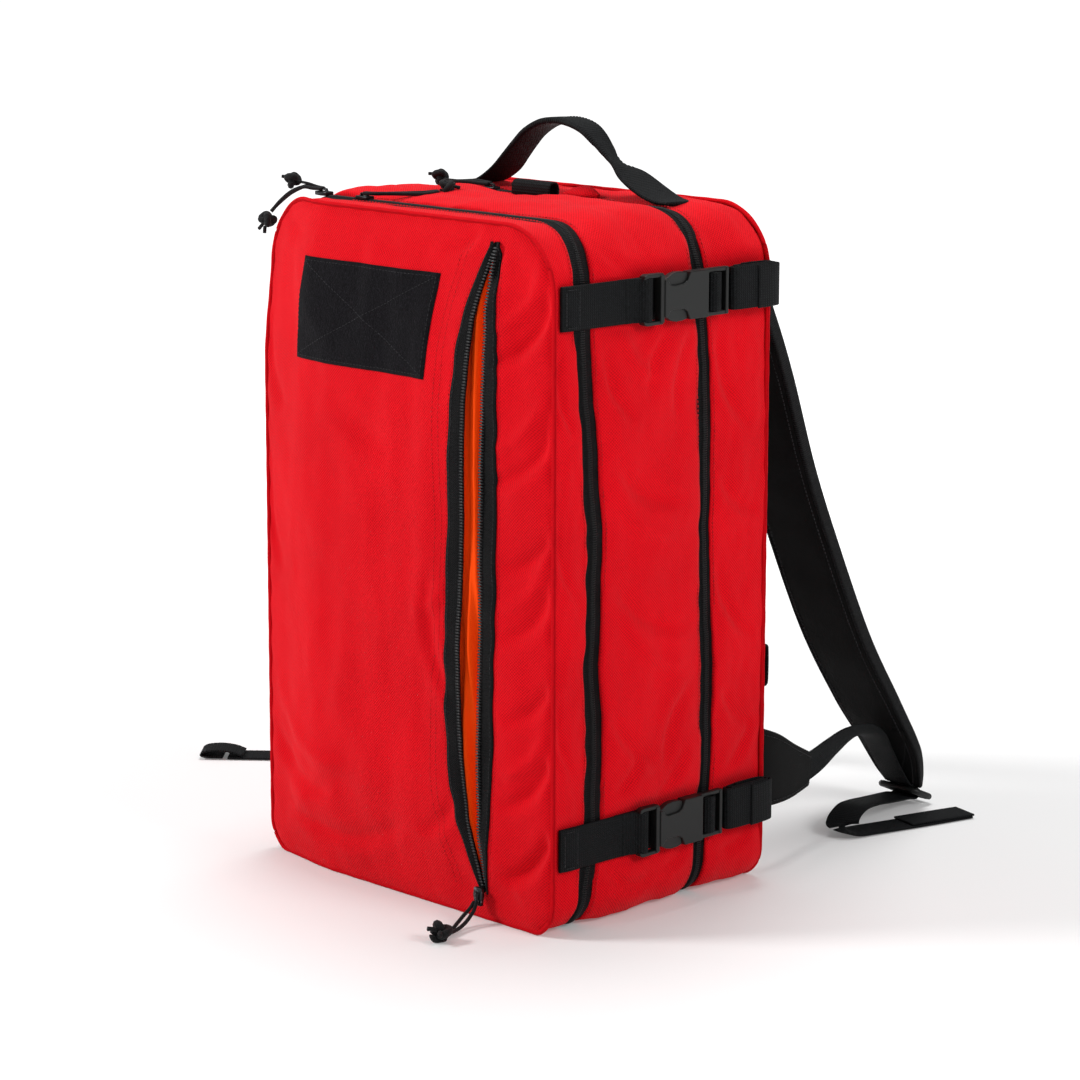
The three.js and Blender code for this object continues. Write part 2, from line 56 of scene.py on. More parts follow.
# ---- sizes taken from the frame ----
HALF_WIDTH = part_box("middle_shell")[1].x
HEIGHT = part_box("middle_shell")[1].z
TOP_RADIUS = 45 * MM
BOTTOM_RADIUS = 24 * MM
FRONT_ZIP = (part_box("front_zip_tape_outer")[1].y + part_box("front_zip_tape_inner")[0].y) / 2
REAR_ZIP = (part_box("rear_zip_tape_outer")[1].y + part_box("rear_zip_tape_inner")[0].y) / 2
PANEL_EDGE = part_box("front_shell")[0].y + 6 * MM
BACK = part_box("back_shell")[1].y
UPPER_STRAP = (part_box("upper_front_web")[0].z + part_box("upper_front_web")[1].z) / 2
LOWER_STRAP = (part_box("lower_front_web")[0].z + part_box("lower_front_web")[1].z) / 2

BACK_BODY, MIDDLE_BODY, FRONT_BODY = "back_section", "middle_section", "front_section"
FRONT_ZIP_HALF = 7.6 * MM
REAR_ZIP_HALF = 5.8 * MM
WEBBING_WIDTH = 30
FLOOR_CLEARANCE = 0.15 * MM


# ---- camera, light and floor ----
def make_camera():
    azimuth, elevation, distance = math.radians(46.0), math.radians(11.5), 2.532
    target = Vector((0, 0, HEIGHT / 2))
    level = math.cos(elevation)
    back = Vector((math.sin(azimuth) * level, -math.cos(azimuth) * level, math.sin(elevation)))
    data = bpy.data.cameras.new("camera")
    data.sensor_width = 36
    data.lens = 118.7
    data.shift_x = 0.029
    data.shift_y = -0.0014
    data.clip_end = 60
    camera = bpy.data.objects.new("camera", data)
    camera.location = target + back * distance
    camera.rotation_euler = back.to_track_quat("Z", "Y").to_euler()
    bpy.context.scene.collection.objects.link(camera)
    bpy.context.scene.camera = camera


def area_light(name, location, size, power):
    """A round soft light aimed at the middle of the bag."""
    data = bpy.data.lights.new(name, "AREA")
    data.shape = "DISK"
    data.size = size
    data.energy = power
    light = bpy.data.objects.new(name, data)
    light.location = location
    light.rotation_euler = (Vector(location) - Vector((0, 0, 0.25))).to_track_quat("Z", "Y").to_euler()
    bpy.context.scene.collection.objects.link(light)


def make_floor():
    """A pale floor that glows, faintly near the bag and more strongly away from it, and so grows into a white
    surround. The glow is painted light, not a lamp.
    """
    reach = 40
    mesh = bpy.data.meshes.new("floor")
    corners = [(-reach, -reach, 0), (reach, -reach, 0), (reach, reach, 0), (-reach, reach, 0)]
    mesh.from_pydata(corners, [], [(0, 1, 2, 3)])
    floor = bpy.data.objects.new("floor", mesh)
    bpy.context.scene.collection.objects.link(floor)
    graph = Graph("floor_white")
    graph.set((0.74, 0.74, 0.74), 0.6, 0.2)
    graph.link((1, 1, 1), graph.shader.inputs["Emission Color"])
    # Painted glow: the emission strength rises with the distance from the bag.
    spread = graph.node("ShaderNodeVectorMath", operation="LENGTH")
    graph.link(graph.node("ShaderNodeTexCoord").outputs["Object"], spread.inputs[0])
    glow = graph.node("ShaderNodeMapRange", interpolation_type="SMOOTHSTEP")
    graph.link(spread.outputs["Value"], glow.inputs["Value"])
    for setting, value in (("From Min", 0.35), ("From Max", 1.9), ("To Min", 0.14), ("To Max", 0.85)):
        graph.link(value, glow.inputs[setting])
    graph.link(glow.outputs["Result"], graph.shader.inputs["Emission Strength"])
    mesh.materials.append(graph.material)


def make_studio():
    scene = bpy.context.scene
    scene.view_settings.view_transform = "Standard"
    world = bpy.data.worlds.new("studio")
    world.use_nodes = True
    background = world.node_tree.nodes["Background"]
    background.inputs["Color"].default_value = (1, 1, 1, 1)
    background.inputs["Strength"].default_value = 0.30
    scene.world = world
    area_light("key", (-1.9, -2.3, 2.2), 0.9, 84)
    area_light("fill", (3.0, 0.3, 2.0), 1.3, 46)
    area_light("top", (-0.3, 0.5, 2.8), 1.3, 44)
    make_floor()


# ---- materials ----
class Graph:
    """A material's node tree, with short calls for the few kinds of node used here."""

    def __init__(self, name):
        self.material = bpy.data.materials.new(name)
        self.material.use_nodes = True
        self.tree = self.material.node_tree
        self.shader = self.tree.nodes["Principled BSDF"]

    def node(self, kind, **values):
        node = self.tree.nodes.new(kind)
        for key, value in values.items():
            setattr(node, key, value)
        return node

    def link(self, source, target):
        """Sets an input to a number or a colour, or joins another node's output to it."""
        if isinstance(source, (int, float)):
            target.default_value = source
        elif isinstance(source, tuple):
            target.default_value = (*source, 1)
        else:
            self.tree.links.new(source, target)

    def math(self, operation, *values):
        node = self.node("ShaderNodeMath", operation=operation)
        for value, target in zip(values, node.inputs):
            self.link(value, target)
        return node.outputs[0]

    def weave_axes(self):
        """Distances along and across the cloth, in millimetres."""
        attribute = self.node("ShaderNodeAttribute", attribute_name="cloth")
        parts = self.node("ShaderNodeSeparateXYZ")
        self.link(attribute.outputs["Vector"], parts.inputs[0])
        return parts.outputs[0], parts.outputs[1]

    def noise(self, scale, detail):
        node = self.node("ShaderNodeTexNoise")
        self.link(scale, node.inputs["Scale"])
        self.link(detail, node.inputs["Detail"])
        self.link(self.node("ShaderNodeTexCoord").outputs["Object"], node.inputs["Vector"])
        return node.outputs["Fac"]

    def ramp(self, value, color, *stops):
        """Shades of one colour along a value. Each stop is a position and how bright the colour is there."""
        node = self.node("ShaderNodeValToRGB")
        self.link(value, node.inputs[0])
        elements = node.color_ramp.elements
        while len(elements) < len(stops):
            elements.new(0.5)
        for element, (position, factor) in zip(elements, stops):
            element.position = position
            element.color = (*scaled(color, factor), 1)
        return node.outputs["Color"]

    def wave(self, value, pitch):
        """A sine of the distance value, one turn for each pitch in millimetres."""
        return self.math("SINE", self.math("MULTIPLY", value, 2 * math.pi / pitch))

    def bump(self, height, distance, strength=1.0):
        """Relief from a height, with its full depth in millimetres."""
        node = self.node("ShaderNodeBump")
        self.link(distance * MM, node.inputs["Distance"])
        self.link(strength, node.inputs["Strength"])
        self.link(height, node.inputs["Height"])
        return node.outputs["Normal"]

    def set(self, base, roughness, specular, sheen=None, metallic=0.0, normal=None):
        """Sets the shader and returns the finished material. sheen is its weight, tint and roughness."""
        inputs = self.shader.inputs
        self.link(base, inputs["Base Color"])
        self.link(roughness, inputs["Roughness"])
        inputs["Specular IOR Level"].default_value = specular
        inputs["Metallic"].default_value = metallic
        if sheen:
            inputs["Sheen Weight"].default_value = sheen[0]
            inputs["Sheen Tint"].default_value = (*sheen[1], 1)
            inputs["Sheen Roughness"].default_value = sheen[2]
        if normal:
            self.link(normal, inputs["Normal"])
        return self.material


def scaled(color, factor):
    return tuple(min(c * factor, 1) for c in color)


def woven_fabric(name, color, pitch, sheen=0.0, depth=0.22, specular=0.12, mottle_and_weave_shade=0.1):
    """Plain-woven cloth: crossing yarns, uneven yarn brightness and a soft mottling. The yarns' colour follows
    their relief: painted light on the raised yarns, painted shade between them.
    """
    graph = Graph(name)
    along, across = graph.weave_axes()
    yarns = graph.math("MULTIPLY", graph.wave(along, pitch), graph.wave(across, pitch))
    slubs = graph.noise(900.0, 2.0)
    height = graph.math("MULTIPLY_ADD", yarns, 0.5, slubs)
    # Colour: random mottling plus painted weave shade, lighter where the yarns rise and darker where they dip.
    shade = graph.math("MULTIPLY_ADD", slubs, 0.5, graph.math("MULTIPLY", yarns, 0.36))
    shade = graph.math("MULTIPLY_ADD", graph.noise(14.0, 2.0), 0.4, shade)
    # The ramp's spread sets both the random mottling and the painted weave shade.
    base = graph.ramp(shade, color, (0.15, 1 - 3.4 * mottle_and_weave_shade), (0.5, 1), (0.85, 1 + 1.3 * mottle_and_weave_shade))
    rough = graph.math("MULTIPLY_ADD", slubs, 0.12, 0.76)
    return graph.set(base, rough, specular, (sheen, (1, 0.62, 0.66), 0.5), normal=graph.bump(height, depth))


def webbing_fabric(name, color, rib, rows):
    """Ribbed nylon webbing: raised ribs across it, broken into rows along it. Its colour follows the rib
    height: painted light on the ribs, painted shade in the grooves.
    """
    graph = Graph(name)
    along, across = graph.weave_axes()
    ribs = graph.wave(along, rib)
    broken = graph.math("MULTIPLY", graph.math("MULTIPLY", ribs, graph.wave(across, rows)), 0.5)
    height = graph.math("MULTIPLY_ADD", ribs, 0.35, broken)
    # Painted shade: the rib height, with a little random grain, darkens the grooves and lightens the ribs.
    shade = graph.math("MULTIPLY_ADD", height, 0.3, graph.noise(700.0, 2.0))
    base = graph.ramp(shade, color, (0.2, 0.4), (0.5, 1), (0.85, 2.6))
    return graph.set(base, 0.62, 0.11, (0.012, (0.5, 0.55, 0.6), 0.4), normal=graph.bump(height, 0.4))


def pile_fabric(name, color):
    """Hook-and-loop field: short loops standing in every direction. The loops' height also sets their colour:
    painted light on the loop tops, painted shade lower down.
    """
    graph = Graph(name)
    loops = graph.noise(950.0, 4.0)
    height = graph.math("ADD", loops, graph.noise(240.0, 3.0))
    # Painted light and shade: the colour follows the loops' height.
    base = graph.ramp(loops, color, (0.3, 0.4), (0.55, 1), (0.8, 3.2))
    return graph.set(base, 0.95, 0.05, (0.05, (0.6, 0.58, 0.6), 0.6), normal=graph.bump(height, 0.8))


def mesh_fabric(name, color):
    """Spacer mesh: rows of small open cells, each row half a cell along from the last. The cells' colour
    follows their relief: painted shade in the hollows, painted light on the ridges.
    """
    graph = Graph(name)
    along, across = graph.weave_axes()
    shifted = graph.math("MULTIPLY_ADD", across, 0.5, along)
    cells = graph.math("MULTIPLY", graph.wave(shifted, 3.2), graph.wave(across, 3.6))
    # Painted shade: the open cells darken and the ridges between them lighten.
    shade = graph.math("MULTIPLY_ADD", cells, 0.5, 0.5)
    base = graph.ramp(shade, color, (0.1, 0.25), (0.6, 1), (1.0, 1.9))
    return graph.set(base, 0.88, 0.15, (0.15, (0.5, 0.5, 0.5), 0.6), normal=graph.bump(cells, 0.6))


def moulded_plastic(name, color, roughness):
    """Acetal moulding: fine spark texture, with wear that lightens it a little."""
    graph = Graph(name)
    wear = graph.noise(60.0, 4.0)
    base = graph.ramp(wear, color, (0.3, 0.8), (0.6, 1), (0.85, 1.5))
    rough = graph.math("MULTIPLY_ADD", wear, 0.18, roughness - 0.05)
    return graph.set(base, rough, 0.3, normal=graph.bump(graph.noise(1600.0, 3.0), 0.03, 0.6))


def coated_metal(name, color):
    """Black-coated metal, rubbed bright in spots."""
    graph = Graph(name)
    rub = graph.noise(220.0, 5.0)
    base = graph.ramp(rub, color, (0.35, 1), (0.62, 1.6), (0.75, 16))
    return graph.set(base, 0.3, 0.6, metallic=0.85, normal=graph.bump(rub, 0.04, 0.5))


def thread(name, color):
    """Twisted or braided thread: fine strands as a small uneven relief. The same relief sets the colour:
    painted light on the raised strands, painted shade between them.
    """
    graph = Graph(name)
    strands = graph.noise(1300.0, 2.0)
    # Painted light and shade: the colour follows the strands' relief.
    base = graph.ramp(strands, color, (0.3, 0.5), (0.55, 1), (0.8, 3.0))
    return graph.set(base, 0.8, 0.2, (0.1, (0.5, 0.5, 0.5), 0.5), normal=graph.bump(strands, 0.35))


RED = (0.69, 0.0022, 0.0085)
MAT = {
    "red": woven_fabric("red_nylon", RED, 2.2, sheen=0.06, specular=0.05, depth=0.3),
    "piping": woven_fabric("red_piping", scaled(RED, 0.86), 1.25, specular=0.06),
    "orange": woven_fabric("orange_lining", (1.0, 0.07, 0.001), 1.4, specular=0.1, depth=0.1, mottle_and_weave_shade=0.05),
    "strap": woven_fabric("strap_cloth", (0.0042, 0.0042, 0.0043), 1.6, specular=0.16, depth=0.12, mottle_and_weave_shade=0.25),
    "tape": webbing_fabric("zip_tape", (0.0026, 0.0026, 0.003), 1.6, 1.6),
    "binding": webbing_fabric("edge_binding", (0.006, 0.006, 0.0065), 1.6, 1.5),
    "webbing": webbing_fabric("webbing", (0.0036, 0.0041, 0.0046), 1.9, 1.7),
    "loop": pile_fabric("loop_pile", (0.0048, 0.0043, 0.0056)),
    "mesh": mesh_fabric("spacer_mesh", (0.010, 0.010, 0.011)),
    "plastic": moulded_plastic("buckle_acetal", (0.0062, 0.0068, 0.0065), 0.42),
    "teeth": moulded_plastic("zip_coil", (0.006, 0.006, 0.0066), 0.42),
    # Pocket coil: a lighter grey than the perimeter coil, as painted highlight for the glints on its teeth,
    # and glossier.
    "pocket_teeth": moulded_plastic("pocket_coil", (0.016, 0.016, 0.017), 0.3),
    "metal": coated_metal("slider_metal", (0.02, 0.02, 0.022)),
    "cord": thread("pull_cord", (0.006, 0.006, 0.0068)),
    "sheet": moulded_plastic("frame_sheet", (0.02, 0.02, 0.022), 0.5),
    "red_thread": thread("red_thread", scaled(RED, 0.8)),
    "black_thread": thread("black_thread", (0.022, 0.022, 0.024)),
}


# ---- mesh helpers ----
def place(piece, body, node=None):
    """Ties a piece to its body and hides the CAD node that it stands for."""
    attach(piece, body)
    if node:
        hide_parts(node)
    return piece


def add_object(name, vertices, faces, material, cloth):
    """A smooth mesh just clear of the floor. cloth is each point's place in the weave, in metres."""
    vertices = np.array(vertices, float).reshape(-1, 3)
    vertices[:, 2] = np.maximum(vertices[:, 2], FLOOR_CLEARANCE)
    mesh = bpy.data.meshes.new(name)
    mesh.from_pydata(vertices.tolist(), [], [tuple(f) for f in faces])
    mesh.materials.append(material)
    mesh.polygons.foreach_set("use_smooth", [True] * len(mesh.polygons))
    weave = np.zeros((len(vertices), 3), np.float32)
    weave[:, :2] = np.asarray(cloth, np.float32).reshape(-1, 2) / MM
    mesh.attributes.new("cloth", "FLOAT_VECTOR", "POINT").data.foreach_set("vector", weave.ravel())
    mesh.update()
    piece = bpy.data.objects.new(name, mesh)
    bpy.context.scene.collection.objects.link(piece)
    return piece


def grid_faces(rows, columns, wrap=False):
    """Quads between neighbouring points of a grid. wrap joins its last column to its first."""
    faces = []
    for i in range(rows - 1):
        here, above = i * columns, (i + 1) * columns
        for j in range(columns if wrap else columns - 1):
            k = (j + 1) % columns
            faces.append((here + j, here + k, above + k, above + j))
    return faces


def tube_faces(rows, columns):
    """Quads between rings of points, with a face over each end."""
    last = (rows - 1) * columns
    ends = [tuple(range(columns))[::-1], tuple(range(last, last + columns))]
    return grid_faces(rows, columns, wrap=True) + ends


def add_grid(name, points, material, cloth, wrap=False):
    return add_object(name, points, grid_faces(*points.shape[:2], wrap=wrap), material, cloth)


def upright_part(points, wrap=False):
    """A grid as (points, faces, cloth), with its weave running across and up."""
    flat = points.reshape(-1, 3)
    return flat, grid_faces(*points.shape[:2], wrap=wrap), flat[:, [0, 2]]


def add_parts(name, parts, material):
    """One object from several (points, faces, cloth) parts."""
    vertices, faces, cloth = [], [], []
    for points, part_faces, part_cloth in parts:
        start = len(vertices)
        vertices.extend(points)
        cloth.extend(part_cloth)
        faces.extend([tuple(start + i for i in face) for face in part_faces])
    return add_object(name, vertices, faces, material, cloth)


def vector_noise(points, scale, seed=0.0):
    shift = Vector((seed * 7.13, seed * 3.71, seed * 5.37))
    return np.array([noise.noise(Vector(p) * scale + shift) for p in np.asarray(points).reshape(-1, 3)])


def smooth_step(value, low, high):
    t = np.clip((value - low) / (high - low), 0, 1)
    return t * t * (3 - 2 * t)


def catmull(points, count):
    """count + 1 points on a smooth curve through the given rows of numbers."""
    points = np.asarray(points, float)
    padded = np.vstack([2 * points[0] - points[1], points, 2 * points[-1] - points[-2]])
    out = []
    for k in range(count + 1):
        position = k / count * (len(points) - 1)
        i = min(int(position), len(points) - 2)
        t = position - i
        a, b, c, d = padded[i:i + 4]
        cubic = (3 * b - a - 3 * c + d) * t ** 3 + (2 * a - 5 * b + 4 * c - d) * t ** 2
        out.append(0.5 * (2 * b + (c - a) * t + cubic))
    return np.array(out)


def curve(rows, count):
    """A smooth curve in metres through rows given in millimetres."""
    return catmull(np.array(rows, float) * MM, count)


def run_along(corners, count):
    """Points along the straight lines that join the corners."""
    t = np.linspace(0, len(corners) - 1, count)
    return np.stack([np.interp(t, range(len(corners)), axis) for axis in np.transpose(corners)], -1)


def distances(route):
    """How far along a route each of its points is."""
    return np.concatenate([[0], np.cumsum(np.linalg.norm(np.diff(route, axis=0), axis=1))])


def unit(vectors):
    vectors = np.asarray(vectors, float)
    return vectors / np.maximum(np.linalg.norm(vectors, axis=-1, keepdims=True), 1e-12)


def path_frame(centres, across):
    """Unit vectors across and out of a flat strap's route."""
    along = unit(np.gradient(centres, axis=0))
    across = np.broadcast_to(np.asarray(across, float), along.shape)
    across = unit(across - along * (across * along).sum(1, keepdims=True))
    return across, np.cross(along, across)


def strap_section(width, thickness, crown):
    """Points round a flat strap's rounded section: across, out, and the distance across for its weave."""
    half, radius = width / 2, thickness / 2
    inner = half - radius
    flat = np.linspace(-inner, inner, 5)
    face = radius + crown * (1 - (flat / half) ** 2)
    points = list(zip(flat, face, flat))
    for end, angles in ((1, (60, 20, -20, -60)), (-1, (240, 200, 160, 120))):
        if end < 0:
            points += list(zip(flat, -face, flat))[::-1]
        for angle in np.radians(angles):
            points.append((end * inner + radius * math.cos(angle), radius * math.sin(angle), end * half))
    return points


def strap_part(centres, across, widths, thicknesses, crown=0.0):
    """A closed flat strap along a route, as (points, faces, cloth)."""
    centres = np.asarray(centres, float)
    sides, outs = path_frame(centres, across)
    widths = np.broadcast_to(widths, len(centres))
    thicknesses = np.broadcast_to(thicknesses, len(centres))
    points, cloth = [], []
    for centre, side, out, width, thickness, travelled in zip(
            centres, sides, outs, widths, thicknesses, distances(centres)):
        section = strap_section(width, thickness, crown)
        points += [centre + side * x + out * y for x, y, _ in section]
        cloth += [(travelled, v) for _, _, v in section]
    return points, tube_faces(len(centres), len(section)), cloth


def tapered_part(rows, across, count, crown=0.0):
    """A strap through (x, y, z, width, thickness) rows in millimetres, as (points, faces, cloth)."""
    route = curve(rows, count)
    return strap_part(route[:, :3], across, route[:, 3], route[:, 4], crown)


def tube_part(centres, radius, sides=8, closed=False):
    """A round tube along a route, as (points, faces, cloth)."""
    centres = np.asarray(centres, float)
    steps = np.roll(centres, -1, 0) - np.roll(centres, 1, 0) if closed else np.gradient(centres, axis=0)
    along = unit(steps)
    helper = np.tile([0.0, 0.0, 1.0], (len(centres), 1))
    helper[np.abs(along[:, 2]) > 0.9] = (0, 1, 0)
    side = unit(np.cross(along, helper))[:, None]
    up = np.cross(side[:, 0], along)[:, None]
    radii = np.broadcast_to(radius, len(centres))
    angles = np.arange(sides) * 2 * math.pi / sides
    ring = side * np.cos(angles)[None, :, None] + up * np.sin(angles)[None, :, None]
    points = centres[:, None] + ring * radii[:, None, None]
    cloth = [(t, a * r) for t, r in zip(distances(centres), radii) for a in angles]
    if not closed:
        return points.reshape(-1, 3), tube_faces(len(centres), sides), cloth
    last = (len(centres) - 1) * sides
    seam = [(last + j, last + (j + 1) % sides, (j + 1) % sides, j) for j in range(sides)]
    return points.reshape(-1, 3), grid_faces(len(centres), sides, wrap=True) + seam, cloth


def stitch_parts(centres, normals, pitch=3.2 * MM, length=2.3 * MM, thickness=0.5 * MM, lift=0.15 * MM):
    """A row of sewn stitches along a route: short rounded threads lying on the cloth."""
    centres, normals = np.asarray(centres, float), np.asarray(normals, float)
    travelled = distances(centres)
    shape = [(-0.5, 0.25), (-0.3, 0.9), (0.0, 1.0), (0.3, 0.9), (0.5, 0.25)]
    faces = grid_faces(5, 4) + [(0, 3, 2, 1), (16, 17, 18, 19)]
    parts = []
    for start in np.arange(pitch / 2, travelled[-1] - length, pitch):
        spots = [start + length * (0.5 + t) for t, _ in shape]
        middle = np.stack([np.interp(spots, travelled, axis) for axis in centres.T], 1)
        normal = unit([np.interp(start, travelled, axis) for axis in normals.T])
        side = np.cross(unit(middle[-1] - middle[0]), normal)
        points = []
        for centre, (_, swell) in zip(middle, shape):
            half = thickness / 2 * swell
            top = centre + normal * (lift + half * 0.9)
            foot = centre - normal * 0.3 * MM
            points += [foot - side * half, top - side * half * 0.6]
            points += [top + side * half * 0.6, foot + side * half]
        parts.append((points, faces, [(0, 0)] * len(points)))
    return parts


def add_stitches(name, rows, material, body, **sizes):
    """Stitches along every row, each given as its points and their normals."""
    parts = [part for centres, normals in rows for part in stitch_parts(centres, normals, **sizes)]
    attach(add_parts(name, parts, MAT[material]), body)


# ---- the bag's outline, seen from the front ----
def heading(degrees):
    angle = math.radians(degrees)
    return np.array([math.cos(angle), math.sin(angle)])


def make_outline(step=3 * MM):
    """Points, outward normals and distances along the rounded outline, from the base over the left side."""
    half, top, low = HALF_WIDTH, TOP_RADIUS, BOTTOM_RADIUS
    corners = [
        (-half + low, low, low, 270), (-half + top, HEIGHT - top, top, 180),
        (half - top, HEIGHT - top, top, 90), (half - low, low, low, 0), (0, 0, 0, 270),
    ]
    points, normals = [], []
    end = np.zeros(2)
    for x, z, radius, degrees in corners:
        centre = np.array([x, z])
        start = centre + radius * heading(degrees)
        direction = unit(start - end)
        count = int(np.linalg.norm(start - end) / step)
        for k in range(count):
            points.append(end + (start - end) * k / count)
            normals.append((-direction[1], direction[0]))
        count = int(math.pi / 2 * radius / step)
        for k in range(count):
            normals.append(heading(degrees - 90 * k / count))
            points.append(centre + radius * normals[-1])
        end = centre + radius * heading(degrees - 90)
    points = np.array(points + [(0.0, 0.0)])
    return points, np.array(normals + [(0.0, -1.0)]), distances(points)


OUT_POINTS, OUT_NORMALS, OUT_S = make_outline()
S_LEFT_LOW = HALF_WIDTH - BOTTOM_RADIUS + BOTTOM_RADIUS * math.pi / 2
S_LEFT_HIGH = S_LEFT_LOW + HEIGHT - TOP_RADIUS - BOTTOM_RADIUS
ON_TOP = smooth_step(OUT_NORMALS[:, 1], 0.5, 0.95)


def on_left_side(s):
    """1 along the fabric hinge on the left, 0 where the zips run."""
    below = smooth_step(s, S_LEFT_LOW - 22 * MM, S_LEFT_LOW + 4 * MM)
    return below * (1 - smooth_step(s, S_LEFT_HIGH + 24 * MM, S_LEFT_HIGH + 50 * MM))


# How the zips settle on the right side: height against depth, in millimetres.
FRONT_ZIP_SETTLE = [
    (0, -74), (18, -74), (70, -66), (120, -65.5), (184, -67), (270, -66), (320, -70), (380, -75),
    (442, -76), (480, -69),
]
REAR_ZIP_SETTLE = [
    (0, 39), (28, 39.5), (80, 45), (140, 47), (200, 44.5), (254, 42.5), (300, 43), (366, 42), (445, 35),
    (480, 41),
]


def zip_line(which):
    """Centre depth and half width of a perimeter zip along the outline."""
    front = which == "front"
    straight, half = (FRONT_ZIP, FRONT_ZIP_HALF) if front else (REAR_ZIP, REAR_ZIP_HALF)
    route = curve(FRONT_ZIP_SETTLE if front else REAR_ZIP_SETTLE, 200)
    x, z = OUT_POINTS.T
    settled = np.interp(z, route[:, 0], route[:, 1])
    share = smooth_step(x, HALF_WIDTH - 50 * MM, HALF_WIDTH - 8 * MM)
    where = np.stack([x, 0 * x + half, z], -1)
    wander = vector_noise(where, 22.0, half * 900) * 2.2 * MM
    wander += vector_noise(where, 75.0, half * 500) * 0.7 * MM
    loose = 1 - on_left_side(OUT_S)
    return straight + (settled - straight) * share + wander * loose, half * loose + 0.25 * MM


def outline_point(y, lift, index=slice(None)):
    """Points on the outline at depth y, lifted out of it."""
    x = OUT_POINTS[index, 0] + OUT_NORMALS[index, 0] * lift
    z = OUT_POINTS[index, 1] + OUT_NORMALS[index, 1] * lift
    return np.stack(np.broadcast_arrays(x, y, z), -1)


def outline_normal(index):
    nx, nz = OUT_NORMALS[index].T
    return np.stack([nx, 0 * nx, nz], -1)


def seam_depth(x, z):
    """Depth of the front panel's piped seam. It is drawn back on the left, most of all at the top."""
    back = 9 * MM + 8 * MM * smooth_step(np.asarray(z, float), 360 * MM, 450 * MM)
    return PANEL_EDGE + back * smooth_step(-np.asarray(x, float), 70 * MM, HALF_WIDTH - 4 * MM)


def strap_hold(x, z, spread=21 * MM):
    """1 where a compression strap presses on the right side, fading to 0 around it."""
    press = np.exp(-((z - UPPER_STRAP) / spread) ** 6) + np.exp(-((z - LOWER_STRAP) / spread) ** 6)
    return np.clip(press, 0, 1) * smooth_step(x, HALF_WIDTH - 14 * MM, HALF_WIDTH - 6 * MM)


# ---- creases ----
# Creases in the panel, in millimetres: (x, z) of both ends, width and depth. Below zero it is a ridge.
PANEL_CREASES = [
    (103, 388, 149, 436, 9, 2.6), (104, 410, 146, 462, 8, -1.6), (104, 308, 149, 346, 9, 2.4),
    (104, 330, 147, 372, 8, -1.5), (110, 250, 149, 278, 8, 1.7), (108, 200, 148, 240, 10, 2.2),
    (108, 222, 148, 262, 8, -1.3), (110, 145, 148, 176, 9, 1.8), (106, 84, 148, 124, 9, 2.4),
    (108, 106, 147, 146, 8, -1.4), (107, 32, 149, 74, 10, 3.4), (108, 470, 104, 440, 4, 1.4),
    (-146, 96, -60, 62, 12, 1.8), (-140, 130, -30, 84, 14, -1.4), (-120, 40, 20, 58, 11, 1.6),
    (30, 54, 70, 90, 10, 1.5), (-148, 300, -128, 210, 12, 1.6), (-149, 400, -120, 330, 12, 1.4),
    (-60, 350, 40, 322, 16, 1.0), (48, 250, 66, 150, 9, 1.3), (-30, 470, 40, 455, 8, 1.2),
    (50, 462, 84, 474, 7, 1.4), (-130, 468, -80, 458, 9, 1.2), (30, 210, 62, 236, 9, -1.0),
]
# Creases in the side walls: (depth, z) of both ends, width and depth.
SIDE_CREASES = [
    (-58, 404, -30, 346, 7, 2.0), (-44, 410, -8, 372, 7, -1.3), (4, 408, -16, 356, 7, 1.7),
    (26, 406, 14, 340, 7, 1.5), (-50, 322, 18, 286, 9, 1.9), (-46, 300, 8, 262, 8, -1.2),
    (-48, 238, 28, 196, 9, 2.0), (-40, 214, 20, 170, 8, -1.3), (-52, 150, -4, 108, 8, 1.9),
    (30, 160, 4, 96, 8, 1.7), (-46, 90, -24, 118, 6, 1.6), (-6, 82, 24, 116, 6, 1.5),
    (-56, 40, -10, 22, 7, 1.7), (0, 30, 30, 44, 6, 1.4), (52, 404, 84, 330, 8, 1.9),
    (56, 300, 98, 268, 8, 1.5), (54, 236, 92, 180, 8, 1.8), (58, 150, 96, 116, 7, 1.5),
    (60, 86, 92, 120, 7, 1.4), (-98, 404, -84, 340, 5, 1.4), (-100, 290, -82, 230, 5, 1.2),
    (-98, 170, -84, 110, 5, 1.3), (56, 30, 92, 40, 6, 1.2), (-58, 462, 10, 440, 7, 1.6),
]
CREASE_STRENGTH = 1.9


def crease_depth(a, z, creases):
    """How far the creases push the cloth in at a point."""
    total = np.zeros(np.shape(a))
    for row in creases:
        a0, z0, a1, z1, width, depth = np.array(row) * MM
        da, dz = a1 - a0, z1 - z0
        length = math.hypot(da, dz)
        t = ((a - a0) * da + (z - z0) * dz) / length ** 2
        bow = 0.12 * length * np.sin(np.pi * np.clip(t, 0, 1))
        off = ((a - a0) * dz - (z - z0) * da) / length - bow
        along = np.clip(1 - np.abs(2 * t - 1) ** 3, 0, 1) * ((t > 0) & (t < 1))
        groove = np.exp(-(off / (width * 0.62)) ** 2) - 0.42 * np.exp(-((off - width) / (width * 0.8)) ** 2)
        total += CREASE_STRENGTH * depth * groove * along
    return total


